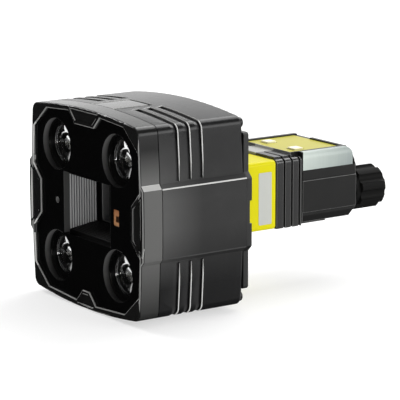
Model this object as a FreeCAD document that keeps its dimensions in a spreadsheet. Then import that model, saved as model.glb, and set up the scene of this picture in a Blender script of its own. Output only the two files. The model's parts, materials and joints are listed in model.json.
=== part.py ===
import FreeCAD, Part
import os
import re
import Sketcher

doc = FreeCAD.newDocument("light_head_reader")
dims = doc.addObject("Spreadsheet::Sheet", "dims")

# Depths run back from the front plane of the light head, widths and heights from its centre line.
SIZES = {
    # placing: the four tapped holes under the reader are the origin
    "mount_depth": 124.5,
    "base_drop": 20,
    # light head, a square with four barrelled sides
    "head_width": 110,
    "head_height": 110,
    "side_sag": 2.4,
    "top_sag": 3.7,
    "corner_radius": 5,
    "head_wall": 3,
    "frame_depth": 12.4,
    "frame_wall": 1.4,
    "flange_depth": 4,
    "edge_round": 1,
    "seam_gap": 0.5,
    "seam_recess": 1,
    "housing_rear": 66.8,
    "rear_wall": 3.5,
    "rear_round": 2,
    # raised panel in the middle of the left and right sides
    "panel_rise": 2.2,
    "panel_half": 18.8,
    "panel_root": 0.5,
    # three louvres at each corner, and the moat round the middle pad above and below
    "louvre_first": 25,
    "louvre_pitch": 7.55,
    "louvre_slope": 4.6,
    "louvre_depth": 1.4,
    "louvre_top": 16,
    "louvre_side": 21.6,
    "louvre_reach": 66,
    "moat_half": 9.6,
    "moat_width": 1.8,
    "moat_depth": 1.2,
    "moat_rear": 37.5,
    # small round boss behind each corner
    "rear_boss_across": 48.6,
    "rear_boss_up": 47.6,
    "rear_boss_radius": 2.8,
    "rear_boss_reach": 1.8,
    "rear_boss_round": 0.8,
    # outline of the front opening: an octagon with a trapezoid tab on each side
    "side_border": 1.6,
    "top_border": 3,
    "corner_cut": 38.4,
    "tab_reach": 45.2,
    "tab_half": 9.4,
    "tab_foot": 17.5,
    "top_tab_foot": 15.8,
    "bottom_tab_half": 3.4,
    "bottom_tab_foot": 9.8,
    "bevel_width": 3.2,
    "bevel_depth": 0.5,
    # front panel
    "panel_front": 1.8,
    "panel_rear": 5.2,
    "fit_gap": 0.15,
    "mouth_half_width": 23.2,
    "mouth_half_height": 17.2,
    "aimer_offset": 30,
    "range_offset": 28.8,
    "aimer_radius": 1.6,
    "range_half_width": 3.1,
    "range_half_height": 4.5,
    "range_lap": 1,
    "window_set_back": 0.6,
    "window_gap": 0.05,
    "aimer_bulge": 0.6,
    # light units
    "lens_across": 30.1,
    "lens_up": 31.1,
    "lens_hole": 14.2,
    "holder_radius": 15.2,
    "holder_bore": 13.5,
    "holder_depth": 11,
    "holder_throat": 5.2,
    "holder_floor": 1.2,
    "holder_lip": 0.6,
    "lens_seat": 11.2,
    "lens_radius": 11,
    "lens_front": 2.4,
    "lens_flange": 1.6,
    "lens_dome_radius": 6.2,
    "lens_dome_rise": 2.2,
    "lens_tail": 9.4,
    "lens_tail_radius": 4.6,
    "lens_well": 3,
    "lens_well_rise": 0.8,
    "lens_lip": 1.2,
    "emitter_half": 3,
    "emitter_base": 0.9,
    "emitter_dome": 2.2,
    "emitter_slope": 1.5,
    "board_front": 16.2,
    "board_thick": 1.6,
    "board_half": 46,
    "board_chamfer": 8,
    "core_half_width": 24.5,
    "core_half_height": 18.5,
    "spreader_plate": 4,
    "fin_length": 12,
    "fin_pitch": 6,
    "fin_gap": 3,
    "driver_front": 44,
    "boss_offset": 38,
    "boss_radius": 3.5,
    # stepped hood behind the mouth
    "hood_rear": 18.8,
    "hood_half_width": 22.9,
    "hood_half_height": 15.3,
    "hood_rear_half_width": 17,
    "hood_rear_half_height": 11.4,
    "hood_wall": 1.5,
    "hood_steps": 11,
    "hood_flange_half_width": 24.6,
    "hood_flange_half_height": 18.4,
    "hood_flange_chamfer": 4.2,
    "hood_flange_thick": 1.2,
    # nose of the reader inside the head
    "nose_front": 22,
    "nose_half_width": 22,
    "nose_half_height": 14.4,
    "nose_round": 3,
    "nose_wall": 2,
    "nose_gap": 1,
    "nose_rear": 74,
    "nose_flange": 2.5,
    "bezel_depth": 6,
    "bezel_half_width": 16,
    "bezel_half_height": 11.4,
    "bezel_round": 2.4,
    "glass_lap": 1.6,
    "glass_thick": 1.5,
    # rear plate of the head
    "plate_step": 68.9,
    "plate_rear": 70.2,
    "plate_half_width": 53.8,
    "plate_half_height": 42.8,
    "plate_chamfer": 1.2,
    "plate_lobe": 57,
    "plate_lobe_half": 18.6,
    "plate_lobe_root": 4,
    "plate_notch_half": 6.2,
    "plate_screw_offset": 38,
    # reader body
    "reader_half": 27.5,
    "cover_rear": 107.8,
    "cover_top": 19.1,
    "cover_bottom": 19.9,
    "cover_wall": 2.5,
    "cover_round": 2.5,
    "gasket_thick": 0.8,
    "gasket_inset": 0.9,
    "sink_rear": 126,
    "sink_top": 19.1,
    "sink_round": 2.2,
    "cavity_half": 22,
    "cavity_top": 15.6,
    "cavity_bottom": 12.4,
    "sink_groove_first": 113.4,
    "sink_groove_pitch": 5.2,
    "sink_groove_width": 1.2,
    "sink_groove_depth": 2.2,
    "sink_pad_right": 0.3,
    "sink_pad_left": 10,
    "base_rear": 145.5,
    "base_half": 24,
    "base_thick": 6,
    "mount_spacing_x": 40,
    "mount_spacing_y": 20,
    "mount_hole": 3.3,
    "mount_hole_depth": 5,
    "tongue_front": 121.1,
    "tongue_half": 23,
    "tongue_under": 18.3,
    "shell_half": 27,
    "shell_top": 21.5,
    "shell_bottom": 18.4,
    "shell_rear": 164.7,
    "shell_wall": 2.2,
    "shell_end_wall": 3,
    "shell_round": 4,
    "heel_front": 159.7,
    "heel_height": 4.8,
    "crown_radius": 30,
    "crown_height": 14,
    "crown_depth": 5,
    "side_rise": 0.5,
    "side_top": 5.1,
    "side_bottom": 13,
    # top label, buttons and indicator windows
    "label_half": 21.8,
    "label_front": 121.7,
    "label_rear": 157.5,
    "label_thick": 0.4,
    "label_sunk": 0.8,
    "rim_notch_from": 7,
    "button_offset": 12.6,
    "button_depth": 132.4,
    "button_half": 3.4,
    "button_corner": 1.1,
    "button_gap": 0.35,
    "button_proud": 1,
    "button_round": 0.6,
    "button_flange": 4.6,
    "button_flange_thick": 0.8,
    "button_travel": 0.5,
    "move_gap": 0.3,
    "switch_half": 3,
    "key_board_top": 14.8,
    "window_inner": 24.4,
    "window_bottom": 11,
    "window_front": 127.2,
    "window_rear": 162.4,
    "window_wall": 2,
    "window_round": 5,
    "window_shoulder": 0.2,
    "window_slope": 1,
    # optics and boards of the reader
    "barrel_front": 46,
    "barrel_radius": 9.6,
    "focus_front": 76,
    "focus_rear": 90,
    "focus_radius": 15.5,
    "barrel_rear_radius": 11.8,
    "barrel_flange": 16,
    "barrel_flange_thick": 2,
    "barrel_rear": 109.5,
    "barrel_bore": 7,
    "objective_thick": 1.5,
    "objective_bulge": 1.2,
    "chip_half": 6,
    "chip_thick": 1.4,
    "processor_half": 4.8,
    "memory_half": 3,
    "memory_offset": 9,
    "sensor_board_front": 112,
    "main_board_top": 3.5,
    "main_board_half": 21,
    "main_board_front": 128,
    "main_board_rear": 156.5,
    "rail_thick": 1.6,
    "rail_lap": 1.5,
    "sensor_ledge": 1.5,
    "key_board_half": 20,
    "key_board_front": 127.2,
    "key_board_rear": 156,
    "key_boss": 1.6,
    "lamp_count": 4,
    "lamp_first": 137,
    "lamp_pitch": 5,
    "lamp_size": 1.6,
    # connectors and their caps
    "connector_offset": 14.3,
    "connector_drop": 6,
    "connector_flange": 7,
    "connector_flange_thick": 2.3,
    "connector_body": 5.8,
    "connector_inner": 158,
    "thread_radius": 6,
    "thread_rear": 176,
    "socket_radius": 4.9,
    "insert_face": 170,
    "contact_circle": 2.75,
    "contact_radius": 0.4,
    "contact_length": 4.5,
    "contact_count": 7,
    "seal_inner": 6.3,
    "seal_outer": 8.2,
    "seal_thick": 1.5,
    "cap_front": 167.8,
    "cap_rear": 188,
    "cap_radius": 12.4,
    "cap_neck": 10.4,
    "cap_bore": 6.1,
    "cap_bore_rear": 177.5,
    "cap_seat": 8.5,
    "cap_seat_depth": 1.3,
    "cap_round": 1.2,
    "flute_count": 8,
    "flute_radius": 3.6,
    "flute_offset": 14.2,
    "flute_front": 170.6,
    "flute_turn": 78.5,
    # screws
    "plate_screw_head": 3.5,
    "plate_screw_thick": 2.2,
    "plate_screw_shank": 1.9,
    "plate_screw_length": 6,
    "shell_screw_head": 2,
    "shell_screw_thick": 1.4,
    "shell_screw_shank": 1.1,
    "shell_screw_grip": 8,
    "screw_gap": 0.1,
    "overcut": 1,
    "shell_screw_across": 23.6,
    "shell_screw_high": 9.8,
    "shell_screw_low": 11,
}
for row, (alias, number) in enumerate(SIZES.items(), start=1):
    dims.set(f"A{row}", alias)
    dims.set(f"B{row}", str(number))
    dims.setAlias(f"B{row}", alias)
doc.recompute()

# A 45 degree corner moves along its neighbour by this share of the inset.
MITRE = 0.4142

# Two heights or depths closer than this are the same one.
TINY = 0.01

# Inner face of the rear housing's roof.
CEILING = "(shell_top - label_sunk - label_thick - shell_wall)"


def full(text):
    def prefixed(word):
        return "dims." + word.group() if word.group() in SIZES else word.group()
    return re.sub(r"[a-z][a-z_0-9]*", prefixed, text)


def size(text):
    return float(dims.evalExpression(full(text)))


def bind(thing, path, text):
    thing.setExpression(path, full(text))


def new_body(label, x="0", y="-mount_depth", z="base_drop"):
    body = doc.addObject("PartDesign::Body", label)
    body.Label = label
    for axis, text in zip("xyz", (x, y, z)):
        bind(body, f".Placement.Base.{axis}", text)
    return body


def origin_of(body, role):
    return next(item for item in body.Origin.OriginFeatures if item.Role == role)


def new_sketch(body, name, plane="XZ_Plane", offset="0"):
    sketch = body.newObject("Sketcher::SketchObject", f"{body.Name}_{name}")
    sketch.AttachmentSupport = [(origin_of(body, plane), "")]
    sketch.MapMode = "FlatFace"
    bind(sketch, ".AttachmentOffset.Base.z", offset)
    return sketch


def front_sketch(body, name, depth="0"):
    """A sketch in width and height, at a depth behind the front plane."""
    return new_sketch(body, name, "XZ_Plane", f"-({depth})")


def pin(sketch, geometry, point, x, y):
    for kind, axis, text in (("DistanceX", -2, x), ("DistanceY", -1, y)):
        if text == "0":
            sketch.addConstraint(Sketcher.Constraint("PointOnObject", geometry, point, axis))
            continue
        number = sketch.addConstraint(Sketcher.Constraint(kind, -1, 1, geometry, point, size(text)))
        bind(sketch, f"Constraints[{number}]", text)


def outline(sketch, corners, arcs=None):
    """Closed outline through corners; arcs gives a side's radius, and 1 for a bulge on its right hand."""
    arcs = arcs or {}
    points = [FreeCAD.Vector(size(x), size(y), 0) for x, y in corners]
    first = sketch.GeometryCount
    ends = []
    for side, begin in enumerate(points):
        finish = points[(side + 1) % len(points)]
        if side not in arcs:
            sketch.addGeometry(Part.LineSegment(begin, finish), False)
            ends.append((1, 2))
            continue
        radius, hand = arcs[side]
        chord = finish - begin
        outward = FreeCAD.Vector(chord.y, -chord.x, 0).normalize() * hand
        rise = size(radius) - (size(radius) ** 2 - chord.Length ** 2 / 4) ** 0.5
        sketch.addGeometry(Part.Arc(begin, (begin + finish) * 0.5 + outward * rise, finish), False)
        ends.append((1, 2) if hand > 0 else (2, 1))
        number = sketch.addConstraint(Sketcher.Constraint("Radius", first + side, size(radius)))
        bind(sketch, f"Constraints[{number}]", radius)
    for side, corner in enumerate(corners):
        before = side - 1 if side else len(corners) - 1
        joined = (first + before, ends[before][1], first + side, ends[side][0])
        sketch.addConstraint(Sketcher.Constraint("Coincident", *joined))
        pin(sketch, first + side, ends[side][0], *corner)


def rectangle(sketch, left, right, low, high):
    outline(sketch, [(left, low), (right, low), (right, high), (left, high)])


def centred(sketch, half_width, half_height):
    rectangle(sketch, f"-({half_width})", half_width, f"-({half_height})", half_height)


def octagon(sketch, half_width, half_height, chamfer, rounded=False):
    arcs = {side: (chamfer, 1) for side in (1, 3, 5, 7)} if rounded else None
    x, z = f"({half_width})", f"({half_height})"
    near_x, near_z = f"({half_width} - {chamfer})", f"({half_height} - {chamfer})"
    outline(sketch, [
        (x, "-" + near_z), (x, near_z), (near_x, z), ("-" + near_x, z),
        ("-" + x, near_z), ("-" + x, "-" + near_z), ("-" + near_x, "-" + z), (near_x, "-" + z),
    ], arcs)


def circle(sketch, x, y, radius):
    middle = FreeCAD.Vector(size(x), size(y), 0)
    index = sketch.addGeometry(Part.Circle(middle, FreeCAD.Vector(0, 0, 1), size(radius)), False)
    number = sketch.addConstraint(Sketcher.Constraint("Radius", index, size(radius)))
    bind(sketch, f"Constraints[{number}]", radius)
    pin(sketch, index, 3, x, y)


def corner_circles(sketch, across, up, radius):
    for x in (f"-({across})", across):
        for y in (f"-({up})", up):
            circle(sketch, x, y, radius)


def pad(body, name, sketch, length, back=True):
    feature = body.newObject("PartDesign::Pad", f"{body.Name}_{name}")
    feature.Profile = sketch
    feature.Reversed = back
    bind(feature, "Length", length)
    doc.recompute()
    return feature


def pocket(body, name, sketch, length, back=True, taper=None):
    before = body.Shape.Volume
    feature = body.newObject("PartDesign::Pocket", f"{body.Name}_{name}")
    feature.Profile = sketch
    feature.Reversed = not back
    bind(feature, "Length", length)
    if taper:
        bind(feature, "TaperAngle", taper)
    doc.recompute()
    assert body.Shape.Volume < before, f"{feature.Name} cuts nothing"
    return feature


def revolve(body, name, corners, arcs=None):
    """Corners are (depth, radius) pairs, turned about the depth axis."""
    sketch = new_sketch(body, f"{name}_profile", "YZ_Plane")
    outline(sketch, corners, arcs)
    feature = body.newObject("PartDesign::Revolution", f"{body.Name}_{name}")
    feature.Profile = sketch
    feature.ReferenceAxis = (sketch, ["H_Axis"])
    feature.Angle = 360
    doc.recompute()
    return feature


def along_row(body, name, original, role, length, count):
    feature = body.newObject("PartDesign::LinearPattern", f"{body.Name}_{name}")
    feature.Originals = [original]
    feature.Direction = (origin_of(body, role), [""])
    bind(feature, "Length", length)
    feature.Occurrences = count
    body.Tip = feature
    doc.recompute()


def round_axis(body, name, original, role, count):
    feature = body.newObject("PartDesign::PolarPattern", f"{body.Name}_{name}")
    feature.Originals = [original]
    feature.Axis = (origin_of(body, role), [""])
    feature.Angle = 360
    bind(feature, "Occurrences", count)
    body.Tip = feature
    doc.recompute()


def round_edges(body, name, wanted, radius, kind="Fillet"):
    base = body.Tip
    names = [f"Edge{i}" for i, edge in enumerate(base.Shape.Edges, start=1) if wanted(edge)]
    feature = body.newObject(f"PartDesign::{kind}", f"{body.Name}_{name}")
    feature.Base = (base, names)
    bind(feature, "Radius" if kind == "Fillet" else "Size", radius)
    doc.recompute()
    return feature


def along_depth(edge):
    """True for a straight edge that runs from front to back."""
    ends = [vertex.Point for vertex in edge.Vertexes]
    return len(ends) == 2 and abs((ends[1] - ends[0]).normalize().y) > 0.999


def at_depth(edge, depth):
    return all(abs(vertex.Point.y - size(depth)) < TINY for vertex in edge.Vertexes)


SIDE_ARC = "(((head_height / 2 - top_sag) ^ 2 + side_sag ^ 2) / (2 * side_sag))"
TOP_ARC = "(((head_width / 2 - side_sag) ^ 2 + top_sag ^ 2) / (2 * top_sag))"


def side_at(height):
    """Half the head's width at a height."""
    return f"(head_width / 2 - side_sag * ({height} / (head_height / 2 - top_sag)) ^ 2)"


def top_at(across):
    """Half the head's height at a distance from its middle."""
    return f"(head_height / 2 - top_sag * ({across} / (head_width / 2 - side_sag)) ^ 2)"


def barrel(sketch, inset="0"):
    """The head's outline: four shallow arcs between its corners."""
    x = f"(head_width / 2 - side_sag - {inset})"
    z = f"(head_height / 2 - top_sag - {inset})"
    side = f"({z} ^ 2 + side_sag ^ 2) / (2 * side_sag)"
    cap = f"({x} ^ 2 + top_sag ^ 2) / (2 * top_sag)"
    corners = [(x, "-" + z), (x, z), ("-" + x, z), ("-" + x, "-" + z)]
    outline(sketch, corners, {0: (side, 1), 1: (cap, 1), 2: (side, 1), 3: (cap, 1)})


def side_panels(sketch):
    """The raised middle panel of the right and left sides, with sloped edges rooted in the wall."""
    face = f"({side_at('panel_half')} + panel_rise)"
    root = f"({face} - panel_rise - panel_root)"
    base = "(panel_half + panel_rise + panel_root)"
    for hand in (1, -1):
        inner = f"{hand} * (head_width / 2 - 2 * head_wall / 3)"
        outer = f"{hand} * {face}"
        foot = f"{hand} * {root}"
        corners = [
            (inner, f"-{base}"), (foot, f"-{base}"), (outer, "-panel_half"),
            (outer, "panel_half"), (foot, base), (inner, base),
        ]
        outline(sketch, corners, {2: (f"{SIDE_ARC} + panel_rise", hand)})


def tabbed_octagon(sketch, inset):
    """The front opening's outline, drawn in by inset all round; its sides follow the barrel."""
    shift = f"{MITRE} * {inset}"
    cut = f"(corner_cut - {shift})"
    tip = f"(tab_reach - {inset})"

    def side(edge_at, border, tip_half, tab_foot):
        edge = f"({edge_at(tab_foot)} - {border} - {inset})"
        end = f"({edge_at('corner_cut')} - {border} - {inset})"
        half = f"({tip_half} + {shift})"
        foot = f"({tab_foot} + {shift})"
        upper = [(tip, half), (edge, foot), (end, cut)]
        lower = [(out, "-" + along) for out, along in reversed(upper)]
        return lower + upper

    right = side(side_at, "side_border", "tab_half", "tab_foot")
    high = side(top_at, "top_border", "tab_half", "top_tab_foot")
    low = side(top_at, "top_border", "bottom_tab_half", "bottom_tab_foot")
    top = [(flipped(along), out) for out, along in high]
    left = [(flipped(out), flipped(along)) for out, along in right]
    bottom = [(along, flipped(out)) for out, along in low]
    outline(sketch, right + top + left + bottom)


def flipped(text):
    return text[1:] if text.startswith("-") else "-" + text


def build_front_frame():
    body = new_body("front_frame")
    outer = front_sketch(body, "outer")
    barrel(outer)
    pad(body, "block", outer, "frame_depth")
    round_edges(body, "corners", along_depth, "corner_radius")
    panels = front_sketch(body, "panels")
    side_panels(panels)
    pad(body, "panels_pad", panels, "frame_depth")
    round_edges(body, "front_edge", lambda edge: at_depth(edge, "0"), "edge_round")
    cavity = front_sketch(body, "cavity", "flange_depth")
    barrel(cavity, "frame_wall")
    pocket(body, "hollow", cavity, "frame_depth")
    opening = front_sketch(body, "opening")
    tabbed_octagon(opening, "0")
    pocket(body, "window", opening, "flange_depth")
    wide = front_sketch(body, "bevel_outer")
    tabbed_octagon(wide, "(-bevel_width)")
    narrow = front_sketch(body, "bevel_inner", "bevel_depth")
    tabbed_octagon(narrow, "0")
    bevel = body.newObject("PartDesign::SubtractiveLoft", "front_frame_bevel")
    bevel.Profile = wide
    bevel.Sections = [narrow]
    bevel.Ruled = True
    doc.recompute()


def build_head_housing():
    body = new_body("head_housing")
    start = "(frame_depth + seam_gap)"
    outer = front_sketch(body, "outer", start)
    barrel(outer)
    pad(body, "block", outer, f"housing_rear - {start}")
    round_edges(body, "corners", along_depth, "corner_radius")
    round_edges(body, "rear_edge", lambda edge: at_depth(edge, "housing_rear"), "rear_round")
    panels = front_sketch(body, "panels", start)
    side_panels(panels)
    pad(body, "panels_pad", panels, f"housing_rear - {start}")
    lip = front_sketch(body, "lip", "frame_depth")
    barrel(lip, "seam_recess")
    pad(body, "lip_pad", lip, "2 * seam_gap")
    cavity = front_sketch(body, "cavity", "frame_depth")
    barrel(cavity, "head_wall")
    pocket(body, "hollow", cavity, "housing_rear - rear_wall - frame_depth")
    back_wall_openings(body, "housing_rear - rear_wall", "rear_wall")
    bosses = front_sketch(body, "bosses", "housing_rear")
    corner_circles(bosses, "rear_boss_across", "rear_boss_up", "rear_boss_radius")
    pad(body, "boss_pads", bosses, "rear_boss_reach")
    boss_end = "housing_rear + rear_boss_reach"
    round_edges(body, "boss_rims", lambda edge: at_depth(edge, boss_end), "rear_boss_round")
    louvre_corners(body)
    for hand in (1, -1):
        moat(body, hand)


def back_wall_openings(body, depth, thick):
    """The passage for the reader's nose, and the four screw holes round it."""
    holes = front_sketch(body, "openings", depth)
    centred(holes, "nose_half_width + nose_gap", "nose_half_height + nose_gap")
    corner_circles(holes, "plate_screw_offset", "plate_screw_offset", "plate_screw_shank + screw_gap")
    pocket(body, "openings_cut", holes, thick)


def louvre_corners(body):
    """Sloping cuts that end in a wall facing forward, three behind each other at all four corners."""
    sketch = front_sketch(body, "louvre_outline", "louvre_first")
    turn_x = "(head_width / 2 - side_sag - corner_radius)"
    turn_z = "(head_height / 2 - top_sag - corner_radius)"
    for across in (1, -1):
        for up in (1, -1):
            bulge = -across * up
            outline(sketch, [
                (f"{across} * louvre_top", f"{up} * ({top_at('louvre_top')} - louvre_depth)"),
                (f"{across} * {turn_x}", f"{up} * ({top_at(turn_x)} - louvre_depth)"),
                (f"{across} * ({side_at(turn_z)} - louvre_depth)", f"{up} * {turn_z}"),
                (f"{across} * ({side_at('louvre_side')} - louvre_depth)", f"{up} * louvre_side"),
                (f"{across} * louvre_reach", f"{up} * louvre_side"),
                (f"{across} * louvre_reach", f"{up} * louvre_reach"),
                (f"{across} * louvre_top", f"{up} * louvre_reach"),
            ], {0: (f"{TOP_ARC} - louvre_depth", bulge), 1: ("corner_radius - louvre_depth", bulge),
                2: (f"{SIDE_ARC} - louvre_depth", bulge)})
    taper = "-atan(louvre_depth / louvre_slope)"
    cut = pocket(body, "louvre", sketch, "louvre_slope", back=False, taper=taper)
    along_row(body, "louvres", cut, "Y_Axis", "2 * louvre_pitch", 3)


def moat(body, hand):
    side = "top" if hand > 0 else "bottom"
    sketch = new_sketch(body, f"moat_{side}", "XY_Plane", f"{hand} * (head_height / 2 + overcut)")
    inner, outer = "moat_half", "(moat_half + moat_width)"
    front, back, rear = "(frame_depth + seam_gap)", "(moat_rear - moat_width)", "moat_rear"
    outline(sketch, [
        (f"-{outer}", front), (f"-{inner}", front), (f"-{inner}", back), (inner, back),
        (inner, front), (outer, front), (outer, rear), (f"-{outer}", rear),
    ])
    pocket(body, f"moat_{side}_cut", sketch, "moat_depth + overcut", back=hand > 0)


def build_rear_plate():
    body = new_body("rear_plate")
    sheet = front_sketch(body, "sheet", "housing_rear")
    octagon(sheet, "plate_half_width", "plate_half_height", "plate_chamfer")
    pad(body, "plate", sheet, "plate_rear - housing_rear")
    lobes = front_sketch(body, "lobes", "housing_rear")
    base = "(plate_lobe_half + plate_lobe - plate_half_width)"
    for hand in (1, -1):
        root = f"{hand} * (plate_half_width - plate_lobe_root)"
        foot = f"{hand} * plate_half_width"
        tip = f"{hand} * plate_lobe"
        outline(lobes, [
            (root, f"-{base}"), (foot, f"-{base}"), (tip, "-plate_lobe_half"),
            (tip, "plate_lobe_half"), (foot, base), (root, base),
        ])
    pad(body, "lobe_pads", lobes, "plate_rear - housing_rear")
    notch = front_sketch(body, "notch", "plate_step")
    for hand in (1, -1):
        root = f"{hand} * (plate_half_width - plate_lobe_root / 2)"
        ends = sorted((root, f"{hand} * (plate_lobe + overcut)"), key=size)
        rectangle(notch, *ends, "-plate_notch_half", "plate_notch_half")
    pocket(body, "notches", notch, "plate_rear - plate_step")
    back_wall_openings(body, "housing_rear", "plate_rear - housing_rear")


def build_front_panel():
    body = new_body("front_panel")
    back = front_sketch(body, "back", "flange_depth")
    barrel(back, "(frame_wall + fit_gap)")
    pad(body, "back_plate", back, "panel_rear - flange_depth")
    face = front_sketch(body, "face", "panel_front")
    tabbed_octagon(face, "fit_gap")
    pad(body, "face_plate", face, "flange_depth - panel_front")
    holes = front_sketch(body, "holes", "panel_front")
    corner_circles(holes, "lens_across", "lens_up", "lens_hole")
    circle(holes, "-aimer_offset", "0", "aimer_radius")
    centred(holes, "mouth_half_width", "mouth_half_height")
    rectangle(holes, "range_offset - range_half_width", "range_offset + range_half_width",
              "-range_half_height", "range_half_height")
    pocket(body, "openings", holes, "panel_rear - panel_front")


def build_light_units():
    for up, row in ((1, "top"), (-1, "bottom")):
        for across, column in ((-1, "left"), (1, "right")):
            height = f"base_drop + {up} * lens_up"
            place = (f"{across} * lens_across", "panel_rear - mount_depth", height)
            holder = new_body(f"lens_holder_{row}_{column}", *place)
            revolve(holder, "cup", [
                ("0", "holder_bore"), ("0", "holder_radius"), ("holder_depth", "holder_radius"),
                ("holder_depth", "holder_throat"), ("holder_depth - holder_floor", "holder_throat"),
                ("lens_front + lens_flange", "lens_seat - holder_lip"),
                ("lens_front + lens_flange", "lens_seat"), ("lens_front", "lens_seat"),
                ("lens_front", "holder_bore"),
            ])
            lens = new_body(f"collimator_{row}_{column}", *place)
            flange_back = "(lens_front + lens_flange)"
            revolve(lens, "body", [
                ("lens_front - lens_dome_rise", "0"), ("lens_front", "lens_dome_radius"),
                ("lens_front", "lens_radius"), (flange_back, "lens_radius"),
                (flange_back, "lens_radius - lens_lip"),
                ("lens_tail", "lens_tail_radius"), ("lens_tail", "lens_well"),
                ("lens_tail - lens_well", "lens_well"), ("lens_tail - lens_well + lens_well_rise", "0"),
            ], {0: ("(lens_dome_radius ^ 2 + lens_dome_rise ^ 2) / (2 * lens_dome_rise)", -1)})


def build_emitters():
    body = new_body("emitters")
    bases = front_sketch(body, "bases", "board_front - emitter_base")
    for across in (1, -1):
        for up in (1, -1):
            x, z = f"{across} * lens_across", f"{up} * lens_up"
            rectangle(bases, f"{x} - emitter_half", f"{x} + emitter_half",
                      f"{z} - emitter_half", f"{z} + emitter_half")
    pad(body, "packages", bases, "emitter_base")
    domes = front_sketch(body, "domes", "board_front - emitter_base")
    corner_circles(domes, "lens_across", "lens_up", "emitter_dome")
    pad(body, "dome_pads", domes, "emitter_dome", back=False)
    crown = "board_front - emitter_base - emitter_dome"
    round_edges(body, "dome_slopes", lambda edge: at_depth(edge, crown), "emitter_slope", "Chamfer")


def board(label, depth, thick="board_thick"):
    body = new_body(label)
    sheet = front_sketch(body, "sheet", depth)
    octagon(sheet, "board_half", "board_half", "board_chamfer")
    centred(sheet, "core_half_width", "core_half_height")
    pad(body, "plate", sheet, thick)
    return body


def build_head_boards():
    """Boards and heat spreader, clamped in one stack between the lens holders and the back wall."""
    board("light_board", "board_front")
    board("driver_board", "driver_front")
    plate_back = "(board_front + board_thick + spreader_plate)"
    spreader = board("heat_spreader", "board_front + board_thick", "spreader_plate + fin_length")
    slot = front_sketch(spreader, "slot", plate_back)
    left = "-(board_half - fin_gap)"
    rectangle(slot, left, f"{left} + fin_gap", "-board_half - overcut", "board_half + overcut")
    cut = pocket(spreader, "slot_cut", slot, "fin_length + overcut")
    count = int(size("(2 * board_half - 3 * fin_gap) / fin_pitch")) + 1
    along_row(spreader, "slots", cut, "X_Axis", f"{count - 1} * fin_pitch", count)
    bosses = front_sketch(spreader, "bosses", plate_back)
    corner_circles(bosses, "boss_offset", "boss_offset", "boss_radius")
    pad(spreader, "boss_posts", bosses, f"driver_front - {plate_back}")
    posts = new_body("standoffs")
    rounds = front_sketch(posts, "rounds", "driver_front + board_thick")
    corner_circles(rounds, "boss_offset", "boss_offset", "boss_radius")
    pad(posts, "posts", rounds, "housing_rear - rear_wall - driver_front - board_thick")


def build_hood():
    """A funnel whose inner walls go in by small square steps, so that no light is thrown forward."""
    body = new_body("light_hood")
    wide = front_sketch(body, "front_rim", "panel_rear")
    centred(wide, "hood_half_width + hood_wall", "hood_half_height + hood_wall")
    narrow = front_sketch(body, "rear_rim", "hood_rear")
    centred(narrow, "hood_rear_half_width + hood_wall", "hood_rear_half_height + hood_wall")
    funnel = body.newObject("PartDesign::AdditiveLoft", "light_hood_funnel")
    funnel.Profile = wide
    funnel.Sections = [narrow]
    funnel.Ruled = True
    doc.recompute()
    flange = front_sketch(body, "flange", "panel_rear")
    octagon(flange, "hood_flange_half_width", "hood_flange_half_height", "hood_flange_chamfer")
    centred(flange, "hood_half_width", "hood_half_height")
    pad(body, "flange_plate", flange, "hood_flange_thick")
    pitch = "((hood_rear - panel_rear) / hood_steps)"
    for step in range(int(size("hood_steps"))):
        share = f"{step} / (hood_steps - 1)"
        opening = front_sketch(body, f"step_{step}", f"panel_rear + {step} * {pitch}")
        centred(opening, f"hood_half_width + (hood_rear_half_width - hood_half_width) * {share}",
                f"hood_half_height + (hood_rear_half_height - hood_half_height) * {share}")
        pocket(body, f"step_{step}_cut", opening, pitch)


def rounded_tube(label, front, rear, wall_x, wall_z):
    body = new_body(label)
    outer = front_sketch(body, "outer", front)
    centred(outer, "nose_half_width", "nose_half_height")
    pad(body, "block", outer, f"{rear} - {front}")
    round_edges(body, "corners", along_depth, "nose_round")
    inner = front_sketch(body, "inner", front)
    centred(inner, f"nose_half_width - {wall_x}", f"nose_half_height - {wall_z}")
    pocket(body, "bore", inner, f"{rear} - {front}")
    return body


def bezel_mouth_corner(edge):
    return along_depth(edge) and abs(edge.CenterOfMass.x) < size("bezel_half_width") + TINY


def build_nose():
    tube = rounded_tube("nose_tube", "(nose_front + bezel_depth)", "nose_rear", "nose_wall", "nose_wall")
    flange = front_sketch(tube, "flange", "nose_rear - nose_flange")
    rectangle(flange, "-(reader_half - cover_wall)", "reader_half - cover_wall",
              "-(cover_bottom - cover_wall)", "cover_top - cover_wall")
    centred(flange, "nose_half_width - nose_wall", "nose_half_height - nose_wall")
    pad(tube, "flange_plate", flange, "nose_flange")
    bezel = rounded_tube("nose_bezel", "nose_front", "(nose_front + bezel_depth)",
                         "(nose_half_width - bezel_half_width)", "(nose_half_height - bezel_half_height)")
    round_edges(bezel, "mouth_corners", bezel_mouth_corner, "bezel_round")
    seat = front_sketch(bezel, "seat", "nose_front + bezel_depth - glass_thick")
    centred(seat, "bezel_half_width + glass_lap + fit_gap", "bezel_half_height + glass_lap + fit_gap")
    pocket(bezel, "seat_cut", seat, "glass_thick")
    glass = new_body("nose_window")
    pane = front_sketch(glass, "pane", "nose_front + bezel_depth - glass_thick")
    centred(pane, "bezel_half_width + glass_lap", "bezel_half_height + glass_lap")
    pad(glass, "sheet", pane, "glass_thick")


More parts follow.
